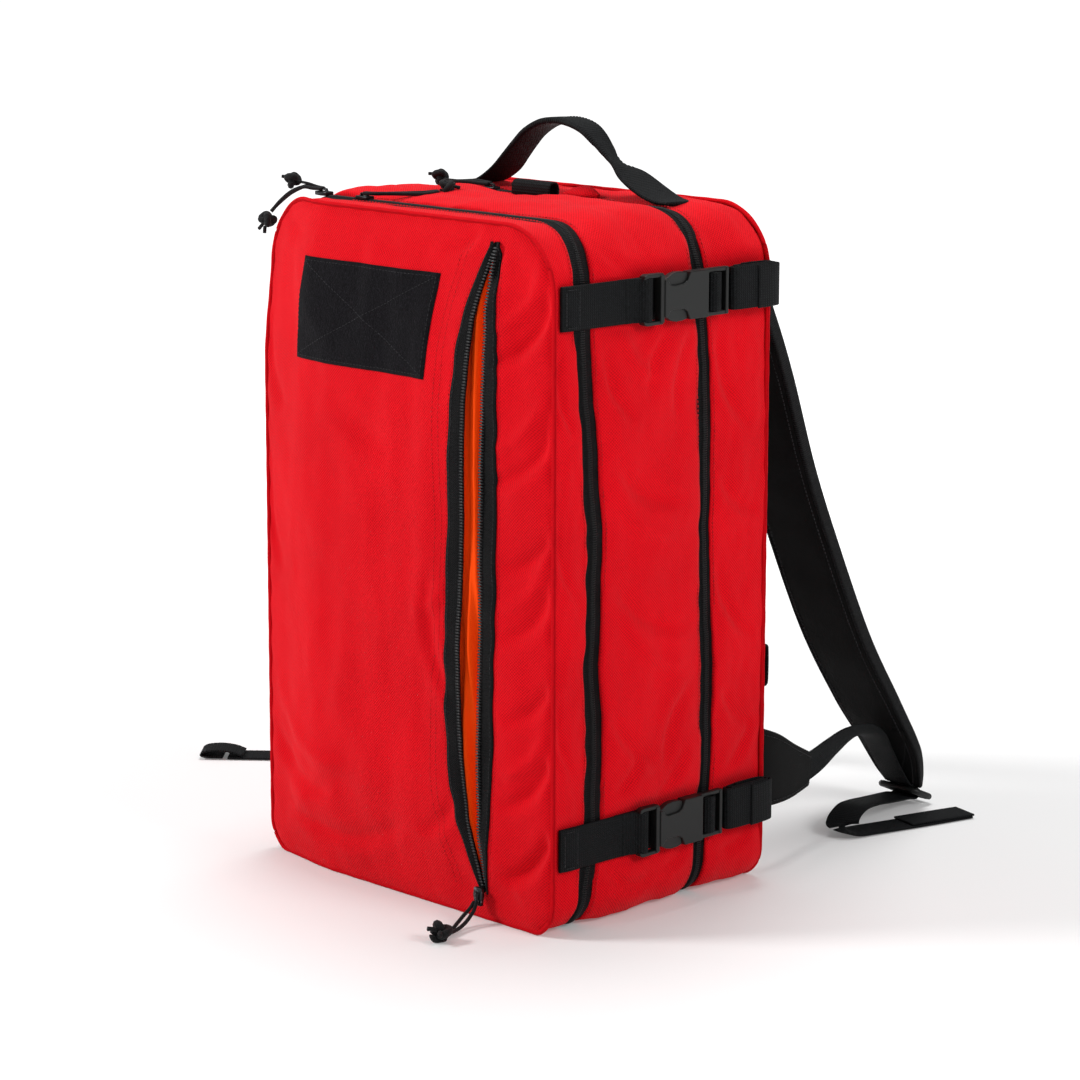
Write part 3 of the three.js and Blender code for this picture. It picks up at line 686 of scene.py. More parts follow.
# ---- the three sections' sides ----
def side_lift(y, front_y, back_y, puff, top_share, seed):
    """How far a side wall bulges out of the outline along one of its rows."""
    edge = np.maximum(np.minimum(y - front_y, back_y - y), 0)
    base = outline_point(y, 0.0)
    x, z = base[:, 0], base[:, 2]
    belly = puff * (1 - np.exp(-edge / (9 * MM)))
    folds = vector_noise(base * (1, 1.4, 0.6), 26.0, seed * 11) * 2.8 * MM
    folds += vector_noise(base * (1, 2.0, 1.0), 70.0, seed * 11 + 3) * 0.6 * MM
    gathers = np.sin(OUT_S / 0.0046 + 2.0 * vector_noise(base, 30.0, seed)) * 0.45 * MM
    gathers *= np.exp(-edge / (4 * MM))
    on_side = smooth_step(np.abs(x), HALF_WIDTH - 14 * MM, HALF_WIDTH - 1 * MM)
    creases = crease_depth(base[:, 1], z, SIDE_CREASES) * on_side * (1 - np.exp(-edge / (5 * MM)))
    held = strap_hold(x, z)
    on_hinge = (OUT_NORMALS[:, 0] < -0.5) * np.exp(-edge / (9 * MM))
    slackness = (1 - held) * (1 + (top_share - 1) * ON_TOP) * (1 - on_hinge)
    lift = (belly + folds + gathers - creases) * slackness - 1.0 * MM * held
    on_floor = smooth_step(-z, -6 * MM, 0.0)
    return np.clip(lift * (1 - on_floor) - 0.6 * MM * on_floor, -4.6 * MM, 9 * MM)


def outline_cloth(name, material, strips):
    """Cloth all round the outline through strips, each given as its depth, lift and place in the weave."""
    points = np.stack([outline_point(y, lift) for y, lift, _ in strips])
    cloth = np.stack([np.stack(np.broadcast_arrays(OUT_S, v), -1) for _, _, v in strips])
    return add_grid(name, points, MAT[material], cloth)


def shell_side(name, body, front_y, back_y, puff, top_share, seed, node=None):
    """One section's side wall: red outside with rolled seams at both edges and an orange lining inside."""
    rows = [front_y + (back_y - front_y) * t for t in np.linspace(0, 1, 27)]
    lips = [(2.0 * MM, -3.4 * MM, -2 * MM), (0.4 * MM, -1.6 * MM, -1 * MM)]
    strips = [(front_y + inward, lift, front_y + weave) for inward, lift, weave in lips]
    strips += [(y, side_lift(y, front_y, back_y, puff, top_share, seed), y) for y in rows]
    strips += [(back_y - inward, lift, back_y - weave) for inward, lift, weave in lips[::-1]]
    place(outline_cloth(name, "red", strips), body, node)
    middle = rows[13]
    inner = [
        (front_y + 2.0 * MM, -3.4 * MM, front_y),
        (middle, -3.2 * MM, middle),
        (back_y - 2.0 * MM, -3.4 * MM, back_y),
    ]
    place(outline_cloth(name + "_lining", "orange", inner), body)


def outline_ring(name, depth, body):
    """A piping cord sewn into a seam all round the outline."""
    radius = 1.7 * MM
    centres = outline_point(depth, 0.6 * MM)[:-1]
    centres[:, 2] = np.maximum(centres[:, 2], radius + 0.2 * MM)
    swell = radius * (1 + 0.05 * np.sin(OUT_S[:-1] / 0.0035))
    place(add_parts(name, [tube_part(centres, swell, 10, closed=True)], MAT["piping"]), body)


def build_sections():
    front, front_half = zip_line("front")
    rear, rear_half = zip_line("rear")
    seam = seam_depth(*OUT_POINTS.T)
    shell_side("front_side", FRONT_BODY, seam + 1.4 * MM, front - front_half, 1.6 * MM, 0.2, 1.0)
    between = (front + front_half, rear - rear_half)
    shell_side("middle_side", MIDDLE_BODY, *between, 3.6 * MM, 1.3, 2.0, "middle_shell")
    shell_side("back_side", BACK_BODY, rear + rear_half, BACK - 1.0 * MM, 2.4 * MM, 1.0, 3.0, "back_shell")
    outline_ring("front_piping", seam, FRONT_BODY)
    outline_ring("back_piping", BACK - 1.5 * MM, BACK_BODY)


# ---- the front panel with its open pocket ----
MOUTH_TOP = (99 * MM, 466 * MM)
MOUTH_BOTTOM = (88 * MM, 24 * MM)
LEFT_BOW = 18 * MM
RIGHT_BOW = 2.5 * MM


def mouth_share(z):
    """0 at the top of the mouth and 1 at its foot."""
    return np.clip((MOUTH_TOP[1] - z) / (MOUTH_TOP[1] - MOUTH_BOTTOM[1]), 0, 1)


def mouth_edge(z, bow):
    """Across position of a mouth edge at height z."""
    t = mouth_share(z)
    return MOUTH_TOP[0] + (MOUTH_BOTTOM[0] - MOUTH_TOP[0]) * t - bow * (1 - (2 * t - 1) ** 4)


def half_width_at(z):
    """Half width of the panel at height z."""
    into_top = np.maximum(z - HEIGHT + TOP_RADIUS, 0)
    into_bottom = np.maximum(BOTTOM_RADIUS - z, 0)
    top_cut = TOP_RADIUS - np.sqrt(np.maximum(TOP_RADIUS ** 2 - into_top ** 2, 0))
    bottom_cut = BOTTOM_RADIUS - np.sqrt(np.maximum(BOTTOM_RADIUS ** 2 - into_bottom ** 2, 0))
    return HALF_WIDTH - top_cut - bottom_cut


def edge_distance(x, z):
    """Distance from the panel's rounded edge to a point inside it."""
    radius = np.where(z > HEIGHT / 2, TOP_RADIUS, BOTTOM_RADIUS)
    across = HALF_WIDTH - np.abs(x)
    up = np.minimum(HEIGHT - z, z)
    corner = radius - np.hypot(np.maximum(radius - across, 0), np.maximum(radius - up, 0))
    return np.where((across < radius) & (up < radius), corner, np.minimum(across, up))


def crown_y(x, z):
    """Depth of the stuffed front panel's outer face."""
    d = np.maximum(edge_distance(x, z), 0)
    rise = 4.0 * MM * (1 - np.exp(-d / (7 * MM))) + 12.0 * MM * (1 - np.exp(-(d / (60 * MM)) ** 2))
    where = np.stack([x, 0 * x, z], -1)

    def folds(stretch, scale, seed, depth):
        return vector_noise(where * stretch, scale, seed).reshape(np.shape(x)) * depth * MM

    slack = folds((1, 1, 1), 9.0, 4.0, 4.0)
    slack += folds((1.5, 1, 0.6), 26.0, 6.0, 2.2)
    slack += folds((1.2, 1, 0.8), 70.0, 8.0, 0.5)
    creases = crease_depth(x, z, PANEL_CREASES) * smooth_step(d, 0, 6 * MM)
    seam_pull = 0.5 * MM * np.sin((x + z) / 0.0042) * np.exp(-d / (5 * MM))
    from_left_hem = np.abs(x - mouth_edge(z, LEFT_BOW) + 12 * MM)
    from_right_hem = np.abs(x - mouth_edge(z, RIGHT_BOW) - 12 * MM)
    hem = np.exp(-np.minimum(from_left_hem, from_right_hem) / (7 * MM))
    tight = 0.55 * MM * np.sin(z / 0.0068 + 2.2 * np.sin(z / 0.031)) * hem
    return seam_depth(x, z) - rise - slack * smooth_step(d, 0, 22 * MM) + creases - seam_pull - tight


def on_panel(x, z, lift=0.0):
    """Points on the panel's face, lifted off it."""
    x, z = np.broadcast_arrays(np.asarray(x, float), np.asarray(z, float))
    return np.stack([x, crown_y(x, z) - lift, z], -1)


def panel_row(x, z):
    """A row of points on the panel with their normals."""
    step = 1 * MM
    across = on_panel(x + step, z) - on_panel(x - step, z)
    up = on_panel(x, z + step) - on_panel(x, z - step)
    return on_panel(x, z), unit(np.cross(across, up))


def panel_strip(left, right, heights, columns):
    """A grid of points on the panel between two edges."""
    u = np.linspace(0, 1, columns)
    return on_panel(left[:, None] + (right - left)[:, None] * u, heights[:, None])


def panel_heights():
    """Row heights: close together round the corners."""
    corner_low = BOTTOM_RADIUS * (1 - np.cos(np.linspace(0.10, math.pi / 2, 10)))
    corner_high = HEIGHT - TOP_RADIUS * (1 - np.cos(np.linspace(math.pi / 2, 0.08, 13)))
    straight = np.linspace(BOTTOM_RADIUS, HEIGHT - TOP_RADIUS, 170)
    heights = np.unique(np.concatenate([corner_low, straight, corner_high]).round(5))
    return heights[np.insert(np.diff(heights) > 0.4 * MM, 0, True)]


def tape_widths(z):
    """Widths of the two parted pocket tapes: narrow where they meet, wide where they are pulled apart."""
    parted = 1 - (2 * mouth_share(z) - 1) ** 4
    return 4 * MM + 9 * MM * parted, 4 * MM + 10 * MM * parted


def build_front_panel():
    z = panel_heights()
    half = half_width_at(z)
    mouth = (z >= MOUTH_BOTTOM[1]) & (z <= MOUTH_TOP[1])
    left_width, right_width = tape_widths(z)
    left_seam = np.minimum(mouth_edge(z, LEFT_BOW) - left_width * mouth, half - 2 * MM)
    right_seam = np.minimum(mouth_edge(z, RIGHT_BOW) + right_width * mouth, half - 1 * MM)
    rim_x = np.concatenate([-half, half[::-1]])
    rim_z = np.concatenate([z, z[::-1]])
    seam = np.stack([rim_x, seam_depth(rim_x, rim_z) + 1.5 * MM, rim_z], -1)
    parts = [
        upright_part(panel_strip(-half, left_seam, z, 110)),
        upright_part(panel_strip(right_seam, half, z, 34)),
        upright_part(np.stack([on_panel(rim_x, rim_z), seam]), wrap=True),
    ]
    place(add_parts("front_panel", parts, MAT["red"]), FRONT_BODY, "front_shell")


def build_pocket_lining():
    """The orange sling inside the pocket: it hangs in upright folds and is sewn behind both tapes."""
    u, z = np.meshgrid(np.linspace(0, 1, 44), np.linspace(18 * MM, 464 * MM, 150))
    left = mouth_edge(z, LEFT_BOW) - 20 * MM
    right = mouth_edge(z, RIGHT_BOW) + 12 * MM
    x = left + (right - left) * u
    sag = np.sin(np.pi * u) ** 0.7
    fold = 2.6 * MM * np.sin(u * 21 + 1.6 * np.sin(z / 0.06)) + 1.4 * MM * np.sin(u * 43 + z / 0.03)
    closed = smooth_step(z, MOUTH_TOP[1] - 30 * MM, MOUTH_TOP[1])
    y = crown_y(x, z) + 2.0 * MM + sag * 4.0 * MM * (1 - 0.5 * closed) + fold * sag
    points = np.stack([x, np.clip(y, -118 * MM, -93 * MM), z], -1)
    sling = add_grid("pocket_sling", points, MAT["orange"], points[..., [0, 2]])
    place(sling, FRONT_BODY, "pocket_lining")


def pocket_tape(name, side, bow, node):
    """One tape of the open zip, lying on the panel's edge, with its coil along the free edge."""
    z = np.linspace(MOUTH_BOTTOM[1] - 4 * MM, MOUTH_TOP[1] + 3 * MM, 240)
    width = tape_widths(z)[0 if side < 0 else 1]
    free = mouth_edge(z, bow)
    curl = 2.2 * MM + 1.1 * MM * np.sin(z / 0.031 + side)
    across = np.linspace(0, 1, 7)
    columns = [on_panel(free + side * width * t, z, 1.0 * MM - curl * (1 - t) ** 2) for t in across]
    top = np.stack(columns, 1)
    points = np.concatenate([top, top[:, ::-1] + (0, 0.9 * MM, 0)], 1)
    across = np.concatenate([across, across[::-1]])
    cloth = np.stack([np.repeat(z[:, None], 14, 1), across * width[:, None]], -1)
    place(add_grid(name, points, MAT["tape"], cloth, wrap=True), FRONT_BODY, node)
    teeth = []
    for tooth_z in np.arange(MOUTH_BOTTOM[1] + 2 * MM, MOUTH_TOP[1], 2.1 * MM):
        x, y = (np.interp(tooth_z, z, axis) for axis in (free, columns[0][:, 1]))
        root = np.array([x + side * 3.0 * MM, y - 0.7 * MM, tooth_z])
        tip = np.array([x - side * 0.9 * MM, y - 0.9 * MM, tooth_z])
        teeth.append(tube_part(np.linspace(root, tip, 4), np.array([0.6, 0.72, 0.85, 0.6]) * MM, 7))
    place(add_parts(name + "_coil", teeth, MAT["pocket_teeth"]), FRONT_BODY)
    forwards = np.tile([0.0, -1.0, 0.0], (len(z), 1))
    add_stitches(name + "_stitch", [(columns[5], forwards)], "black_thread", FRONT_BODY, thickness=0.45 * MM)


def build_patch():
    """The loop field, sewn on a little askew, with a stitched border and cross."""
    low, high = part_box("loop_patch")

    def askew(x, z):
        return x + 4.4 * MM + 4.3 * MM * (2 * (z - low.z) / (high.z - low.z) - 1), z

    height, rim = 1.5 * MM, 0.9 * MM
    rows, columns = 40, 72
    x, z = np.meshgrid(np.linspace(low.x, high.x, columns), np.linspace(low.z, high.z, rows))
    top = on_panel(*askew(x, z), height)
    top[[0, -1]] += (0, rim, 0)
    top[1:-1, [0, -1]] += (0, rim, 0)
    edge = [np.concatenate([axis[0], axis[:, -1], axis[-1, ::-1], axis[::-1, 0]]) for axis in (x, z)]
    skirt = np.stack([on_panel(*askew(*edge), height - rim), on_panel(*askew(*edge), -1.0 * MM)])
    parts = [upright_part(top), upright_part(skirt, wrap=True)]
    place(add_parts("loop_field", parts, MAT["loop"]), FRONT_BODY, "loop_patch")
    inset = 2.6 * MM
    x0, x1, z0, z1 = low.x + inset, high.x - inset, low.z + inset, high.z - inset
    seams = [run_along([(x0, z1), (x1, z1), (x1, z0), (x0, z0), (x0, z1)], 181)]
    seams += [run_along([(x0, z0), (x1, z1)], 80), run_along([(x0, z1), (x1, z0)], 80)]
    stitched = [panel_row(*askew(*seam.T)) for seam in seams]
    add_stitches("loop_field_stitch", stitched, "black_thread", FRONT_BODY, lift=1.45 * MM)


def build_panel_stitches():
    """Seams beside both pocket tapes and the double seam left of the mouth."""
    z = np.linspace(30 * MM, 458 * MM, 260)
    left_width, right_width = tape_widths(z)
    long_z = np.linspace(20 * MM, 468 * MM, 260)
    seam = mouth_edge(long_z, LEFT_BOW) - 27 * MM - 3 * MM * np.sin(long_z / 0.05)
    rows = [
        panel_row(mouth_edge(z, LEFT_BOW) - left_width - 2.2 * MM, z),
        panel_row(seam, long_z), panel_row(seam + 5.5 * MM, long_z),
        panel_row(mouth_edge(z, RIGHT_BOW) + right_width + 2.2 * MM, z),
    ]
    add_stitches("panel_stitch", rows, "red_thread", FRONT_BODY, lift=0.05 * MM)


# ---- perimeter zips ----
def zip_half(name, centre, half, side, body, node):
    """One half of a perimeter zip: woven tape with its row of coil teeth at the middle."""
    raised = 1.1 * MM * ON_TOP
    profile = [(0.02, -0.55), (0.34, -0.35), (0.4, -0.95), (0.8, -0.95), (1.12, -1.3), (1.3, -2.2)]
    columns = [outline_point(centre + side * half * t, lift * MM + raised) for t, lift in profile]
    columns += [outline_point(centre + side * half * t, -2.9 * MM) for t in (1.3, 0.02)]
    across = np.array([t for t, _ in profile] + [1.3, 0.02])
    cloth = np.stack([np.repeat(OUT_S[:, None], len(across), 1), across * half[:, None]], -1)
    place(add_grid(name, np.stack(columns, 1), MAT["tape"], cloth, wrap=True), body, node)
    teeth = []
    for s in np.arange(2 * MM, OUT_S[-1], 1.6 * MM):
        if S_LEFT_LOW - 10 * MM < s < S_LEFT_HIGH + 36 * MM:
            continue
        x, z, nx, nz, y, lift = (
            np.interp(s, OUT_S, axis) for axis in (*OUT_POINTS.T, *OUT_NORMALS.T, centre, raised)
        )
        normal = unit([nx, 0, nz])
        root = np.array([x, y - side * 0.25 * MM, z]) + normal * (lift - 0.25 * MM)
        tip = np.array([x, y + side * 2.1 * MM, z]) + normal * (lift - 0.45 * MM)
        teeth.append(tube_part([root, tip], [0.62 * MM, 0.5 * MM], 5))
    place(add_parts(name + "_coil", teeth, MAT["teeth"]), body)


def build_zips():
    halves = [
        ("front", "front", -1, FRONT_BODY, "outer"), ("front", "rear", 1, MIDDLE_BODY, "inner"),
        ("rear", "front", -1, MIDDLE_BODY, "outer"), ("rear", "rear", 1, BACK_BODY, "inner"),
    ]
    seen = np.flatnonzero((OUT_POINTS[:, 0] > -80 * MM) & (OUT_POINTS[:, 1] > 6 * MM))
    for which, word, side, body, edge in halves:
        centre, half = zip_line(which)
        zip_half(f"{which}_zip_{word}_half", centre, half, side, body, f"{which}_zip_tape_{edge}")
        line = outline_point(centre[seen] + side * (half[seen] + 2.2 * MM), 0.9 * MM, seen)
        add_stitches(f"{which}_zip_{word}_stitch", [(line, outline_normal(seen))], "red_thread", body)


# ---- hard parts: sharp-edged solids get rounded edges ----
def round_edges(piece, width):
    bevel = piece.modifiers.new("rounded_edges", "BEVEL")
    bevel.width = width
    bevel.segments = 3
    bevel.limit_method = "ANGLE"
    bevel.angle_limit = math.radians(32)
    bevel.harden_normals = True
    piece.data.polygons.foreach_set("use_smooth", [True] * len(piece.data.polygons))


def build_slider(node, body):
    """A zip slider: the CAD solid's own shape with rounded edges."""
    source = bpy.data.objects[node]
    mesh = source.data.copy()
    mesh.transform(source.matrix_world)
    shape = bmesh.new()
    shape.from_mesh(mesh)
    bmesh.ops.remove_doubles(shape, verts=shape.verts, dist=0.01 * MM)
    bmesh.ops.dissolve_limit(shape, angle_limit=math.radians(2), verts=shape.verts, edges=shape.edges)
    shape.to_mesh(mesh)
    shape.free()
    mesh.materials.clear()
    mesh.materials.append(MAT["metal"])
    piece = bpy.data.objects.new(node + "_moulded", mesh)
    bpy.context.scene.collection.objects.link(piece)
    round_edges(piece, 0.6 * MM)
    place(piece, body, node)


def plate(outline, low, high):
    """A plate standing across X from low to high, with its outline given as (y, z) points."""
    count = len(outline)
    points = [(low, y, z) for y, z in outline] + [(high, y, z) for y, z in outline]
    faces = [tuple(range(count))[::-1], tuple(range(count, 2 * count))]
    faces += [(i, (i + 1) % count, count + (i + 1) % count, count + i) for i in range(count)]
    if sum(a[0] * b[1] - b[0] * a[1] for a, b in zip(outline, outline[1:] + outline[:1])) < 0:
        faces = [face[::-1] for face in faces]
    return points, faces, [(0, 0)] * len(points)


def bar(y0, y1, z0, z1, low, high):
    return plate([(y0, z0), (y1, z0), (y1, z1), (y0, z1)], low, high)


def plastic_piece(name, parts, z, body, node):
    """A moulding drawn in millimetres about z = 0, moved up to a strap's height."""
    placed = []
    for points, faces, cloth in parts:
        placed.append((np.array(points) * MM + (0, 0, z), faces, cloth))
    piece = add_parts(name, placed, MAT["plastic"])
    round_edges(piece, 0.7 * MM)
    place(piece, body, node)


# ---- compression straps ----
FEMALE_HALF = [
    (-10, 12.6), (-7.5, 12.6), (-5, 9.2), (-2.5, 8.3), (8.5, 8.7), (11.5, 10.4), (14.5, 16.3), (32.5, 16.3),
]
PRONG = [
    (-12, 8.6), (-12, 12.6), (-7, 13.4), (-2, 16.0), (3, 16.9), (9, 16.6), (13, 15.6), (13, 7.6), (-4, 7.6),
]
RAIL = [(-29, 13.8), (-28.2, 16.2), (-25.5, 17.4), (-10, 17.2), (-10, 14.6), (-25, 14.6)]


def turned_over(outline, side):
    return [(y, side * z) for y, z in outline]


def build_buckle(level, z):
    female = [plate(FEMALE_HALF + turned_over(FEMALE_HALF, -1)[::-1], 153.2, 161.2)]
    female += [bar(31, 54.5, -16.3, -13.4, 154.2, 158.6), bar(31, 54.5, 13.4, 16.3, 154.2, 158.6)]
    female += [bar(39.5, 45.5, -14, 14, 154.4, 157.6), bar(51.6, 54.5, -16.2, 16.2, 154.4, 159.2)]
    plastic_piece(level + "_buckle_socket", female, z, BACK_BODY, level + "_buckle_female")
    male = [bar(-27, -24.4, -15.5, 15.5, 154.0, 158.0), bar(-13.5, -9.8, -16.2, 16.2, 154.0, 160.4)]
    male += [plate(turned_over(RAIL, side), 154.0, 159.6) for side in (-1, 1)]
    plastic_piece(level + "_buckle_plug", male, z, level + "_male", level + "_buckle_male")
    for side, suffix, letter in ((1, "top", "a"), (-1, "bottom", "b")):
        arm = [plate(turned_over(PRONG, side), 154.6, 159.4)]
        node = f"{level}_prong_{suffix}"
        plastic_piece(node + "_arm", arm, z, f"{level}_prong_{letter}", node)


def webbing_run(name, rows, across, width, thickness, steps=60):
    """A length of flat webbing. Its rows, width and thickness are in millimetres."""
    points, faces, cloth = strap_part(curve(rows, steps), across, width * MM, thickness * MM)
    return add_object(name, points, faces, MAT["webbing"], cloth)


def squared(value, power):
    """A sine or cosine pushed towards 1 and -1, so that its circle becomes a rounded box."""
    return math.copysign(abs(value) ** power, value)


def build_compression_strap(level, z):
    """Front webbing to the male half, rear webbing round the female half's bar, and its rolled spare end."""
    h = z / MM
    up = (0, 0, 1)
    front = [
        (151.0, -98.6, h), (151.6, -84, h), (152.2, -60, h), (152.6, -40, h), (154.6, -31, h),
        (158.2, -26.4, h), (159.2, -22.6, h), (157.6, -20.8, h), (154.6, -23, h), (153.2, -30, h),
        (152.8, -40, h - 0.2),
    ]
    run = webbing_run(level + "_front_webbing", front, up, WEBBING_WIDTH, 1.7, 130)
    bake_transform(run)
    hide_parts(level + "_front_web")
    under = [(151.6, -46, h), (151.8, -28, h), (152.0, -11, h)]
    hem = [(151.9, -98.4, h), (153.1, -90, h), (153.2, -82.5, h)]
    rear = [
        (151.6, 104, h), (152.4, 80, h), (152.8, 60, h), (154.4, 50, h), (157.2, 47, h), (159.9, 44.8, h),
        (160.4, 42.4, h), (159.8, 40.2, h), (157.0, 38.0, h), (154.2, 40, h), (153.6, 50, h),
        (154.6, 58, h),
    ]
    spiral = []
    for turn in np.linspace(0, 2.6, 46):
        angle = turn * 2 * math.pi
        x = 157.6 + 5.0 * (1 - 0.2 * turn) * squared(math.cos(angle), 0.55)
        y = 80.5 + (24.6 - 3.6 * turn) * squared(math.sin(angle), 0.8)
        spiral.append((x, y, h + 0.8 * turn))
    runs = [
        ("_under_webbing", under, WEBBING_WIDTH, 1.2, 60, FRONT_BODY, None),
        ("_front_hem", hem, 29.6, 1.4, 60, FRONT_BODY, None),
        ("_rear_webbing", rear, 26.4, 1.6, 140, BACK_BODY, level + "_rear_web"),
        ("_keeper_roll", spiral, 29.5, 1.5, 260, BACK_BODY, level + "_keeper"),
    ]
    for suffix, rows, width, thickness, steps, body, node in runs:
        place(webbing_run(level + suffix, rows, up, width, thickness, steps), body, node)
    seams = []
    a, b, c, d = (-96, -12.5), (-96, 12.5), (-84, 12.5), (-84, -12.5)
    for ends in ((a, b), (d, c), (b, c), (a, d)):
        line = run_along([(153.9, y, h + rise) for y, rise in ends], 40) * MM
        seams.append((line, np.tile([1.0, 0, 0], (40, 1))))
    add_stitches(level + "_front_hem_stitch", seams, "black_thread", FRONT_BODY, pitch=2.8 * MM)


# ---- carry handle, tab and spare cloth on the top ----
HANDLE_LINE = [
    (-106, 62, 482.0, 30, 2.4), (-92, 62, 483.0, 30, 2.4), (-80, 62, 486.6, 30, 2.4),
    (-67, 62, 494.6, 29.5, 2.4), (-57, 62, 504.4, 27, 3.2), (-48, 62, 513.4, 25, 4.2),
    (-37, 62, 523, 24, 4.4), (-21, 62, 530.6, 23, 4.4), (-2, 62, 532.4, 22, 4.4), (17, 62, 528, 21, 4.4),
    (31, 62, 517.4, 19, 4.4), (39, 61, 510.4, 16.5, 4.2), (46.5, 61, 505, 19, 3.4),
    (58, 62, 499, 26.5, 2.6), (76, 62, 489.8, 30, 2.4), (92, 62, 483.6, 30, 2.4), (106, 62, 482.0, 27, 2.2),
]


def build_handle():
    """Webbing, double at the grip, flat at its sewn ends and kinked where the right leg meets the grip."""
    route = curve(HANDLE_LINE, 150)
    centres, widths, thicknesses = route[:, :3], route[:, 3], route[:, 4]
    x = route[:, 0]
    kink = np.exp(-((x - 40 * MM) / (13 * MM)) ** 2)
    across = np.stack([0.45 * kink, 1 - 0.35 * kink, 0.12 * np.sin(x / (30 * MM)) - 0.75 * kink], -1)
    points, faces, cloth = strap_part(centres, across, widths, thicknesses, crown=0.3 * MM)
    piece = add_object("handle_webbing", points, faces, MAT["webbing"], cloth)
    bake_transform(piece)
    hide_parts("handle_grip", "handle_leg_left", "handle_leg_right")
    side, out = path_frame(centres, across)
    edge = centres + side * (widths / 2 - 2.4 * MM)[:, None] + out * (thicknesses / 2)[:, None]
    folded = widths < 25.5 * MM
    add_stitches(
        "handle_grip_stitch", [(edge[folded], out[folded])], "black_thread", "carry_handle",
        lift=0.25 * MM, thickness=0.55 * MM,
    )


def build_top_fold():
    """A small fold of spare cloth lying on the top behind the tab."""
    route = curve([(8, 46, 481.6), (15, 48, 484.0), (22, 50, 484.8), (29, 51, 484.2), (36, 53, 482)], 40)
    widths = (4 + 9 * np.sin(np.linspace(0, math.pi, 41))) * MM
    points, faces, cloth = strap_part(route, (0.2, 1, 0.5), widths, 2.4 * MM, crown=0.8 * MM)
    place(add_object("top_fold", points, faces, MAT["red"], cloth), BACK_BODY)


def build_tab():
    """A flattened loop of webbing in front of the handle."""
    loop = []
    for angle in np.linspace(0, 2 * math.pi, 40):
        back, up = squared(math.cos(angle), 0.8), squared(math.sin(angle), 0.8)
        loop.append((0, 26 + 4.6 * back, 486.8 + 5.4 * up))
    place(webbing_run("top_loop", loop, (1, 0, 0), 38, 1.7, 120), MIDDLE_BODY, "top_tab")


# ---- sliders and pulls ----
def knot_parts(centre, direction, size, tail):
    """An overhand knot in a doubled cord, with two cut ends beyond it."""
    direction = unit(direction)
    side = unit(np.cross(direction, (0.3, 0.2, 1)))
    up = np.cross(side, direction)
    turns = []
    for t in np.arange(64) * math.pi / 32:
        a, b, c = math.sin(t) + 2 * math.sin(2 * t), math.cos(t) - 2 * math.cos(2 * t), -math.sin(3 * t)
        turns.append(centre + (side * a + up * b) * size * 0.24 + direction * c * size * 0.42)
    parts = [tube_part(turns, size * 0.36, closed=True)]
    for swing in (-1, 1):
        ends = [
            centre + (direction * 0.2 + side * swing * 0.15) * size,
            centre + (direction * 0.8 + side * swing * 0.34) * size,
            centre + direction * (size * 0.8 + tail) + (side * swing * 0.7 - up * 0.15) * size,
        ]
        parts.append(tube_part(catmull(ends, 8), size * 0.2))
    return parts


def build_pull(name, prefix, suffix, body, route, knot_centre, knot_size, end_tail):
    """A doubled pull cord from a slider to its knot."""
    centre = curve(route, 40)
    side = unit(np.cross(unit(np.gradient(centre, axis=0)), (0, 0, 1)))
    t = np.linspace(0, 1, len(centre))
    part = (1.1 + 1.5 * np.sin(math.pi * np.clip(t * 1.15, 0, 1)))[:, None] * MM
    lift = (0.4 * np.sin(6 * t))[:, None] * MM * np.array([0, 0, 1])
    strands = [tube_part(centre + side * part + lift, 1.35 * MM)]
    strands += [tube_part(centre - side * part - lift * 0.5, 1.35 * MM)]
    cord = add_parts(name, strands, MAT["cord"])
    knot_centre = np.array(knot_centre) * MM
    knotted = knot_parts(knot_centre, knot_centre - centre[-6], knot_size * MM, end_tail * MM)
    knot = add_parts(name + "_knot", knotted, MAT["cord"])
    place(cord, body, f"{prefix}_pull_cord{suffix}")
    place(knot, body, f"{prefix}_pull_knot{suffix}")


def build_pulls():
    build_pull("slider_a_pull", "front", "_a", "front_slider_a", [
        (-119.5, -67.2, 485), (-127.8, -68, 485), (-136, -70, 485.4), (-146, -74, 481), (-153, -79, 474),
        (-157, -84, 467),
    ], (-158.5, -86, 461.5), 6.6, 4)
    build_pull("slider_b_pull", "front", "_b", "front_slider_b", [
        (-75.5, -67, 485), (-67.5, -65, 485), (-60, -57, 485), (-55, -44, 484.6), (-51, -32, 484.4),
        (-48, -22.5, 485),
    ], (-46, -16, 487.4), 6.4, 3)
    build_pull("rear_slider_pull", "rear", "", "rear_slider", [
        (-62.5, 42, 485), (-70.5, 42, 485), (-80, 41, 485.4), (-90, 39, 485), (-99, 38, 484.8),
        (-105, 38, 485),
    ], (-111, 38, 487), 6.2, 3)
    build_pull("pocket_slider_pull", "pocket", "", "pocket_zip_slider", [
        (88, -116.5, 16), (88, -120, 11), (88.3, -125, 7.4), (90, -132, 4.4), (93, -140, 3.0),
        (96, -148, 2.8), (98.5, -154.5, 3.2),
    ], (100.8, -161, 7.2), 8.0, 3)
    bead = knot_parts(np.array([-147, -72, 489.5]) * MM, (-1, 0.1, 0.3), 6.2 * MM, 2.5 * MM)
    strand = curve([(-119.5, -66.4, 485.4), (-127, -66.6, 486), (-135, -68, 487.6), (-143, -71, 488.6)], 16)
    extras = [("slider_a_bead", bead, "front_pull_bead_a")]
    extras += [("slider_a_second_strand", [tube_part(strand, 1 * MM)], None)]
    for name, parts, node in extras:
        place(add_parts(name, parts, MAT["cord"]), "front_slider_a", node)


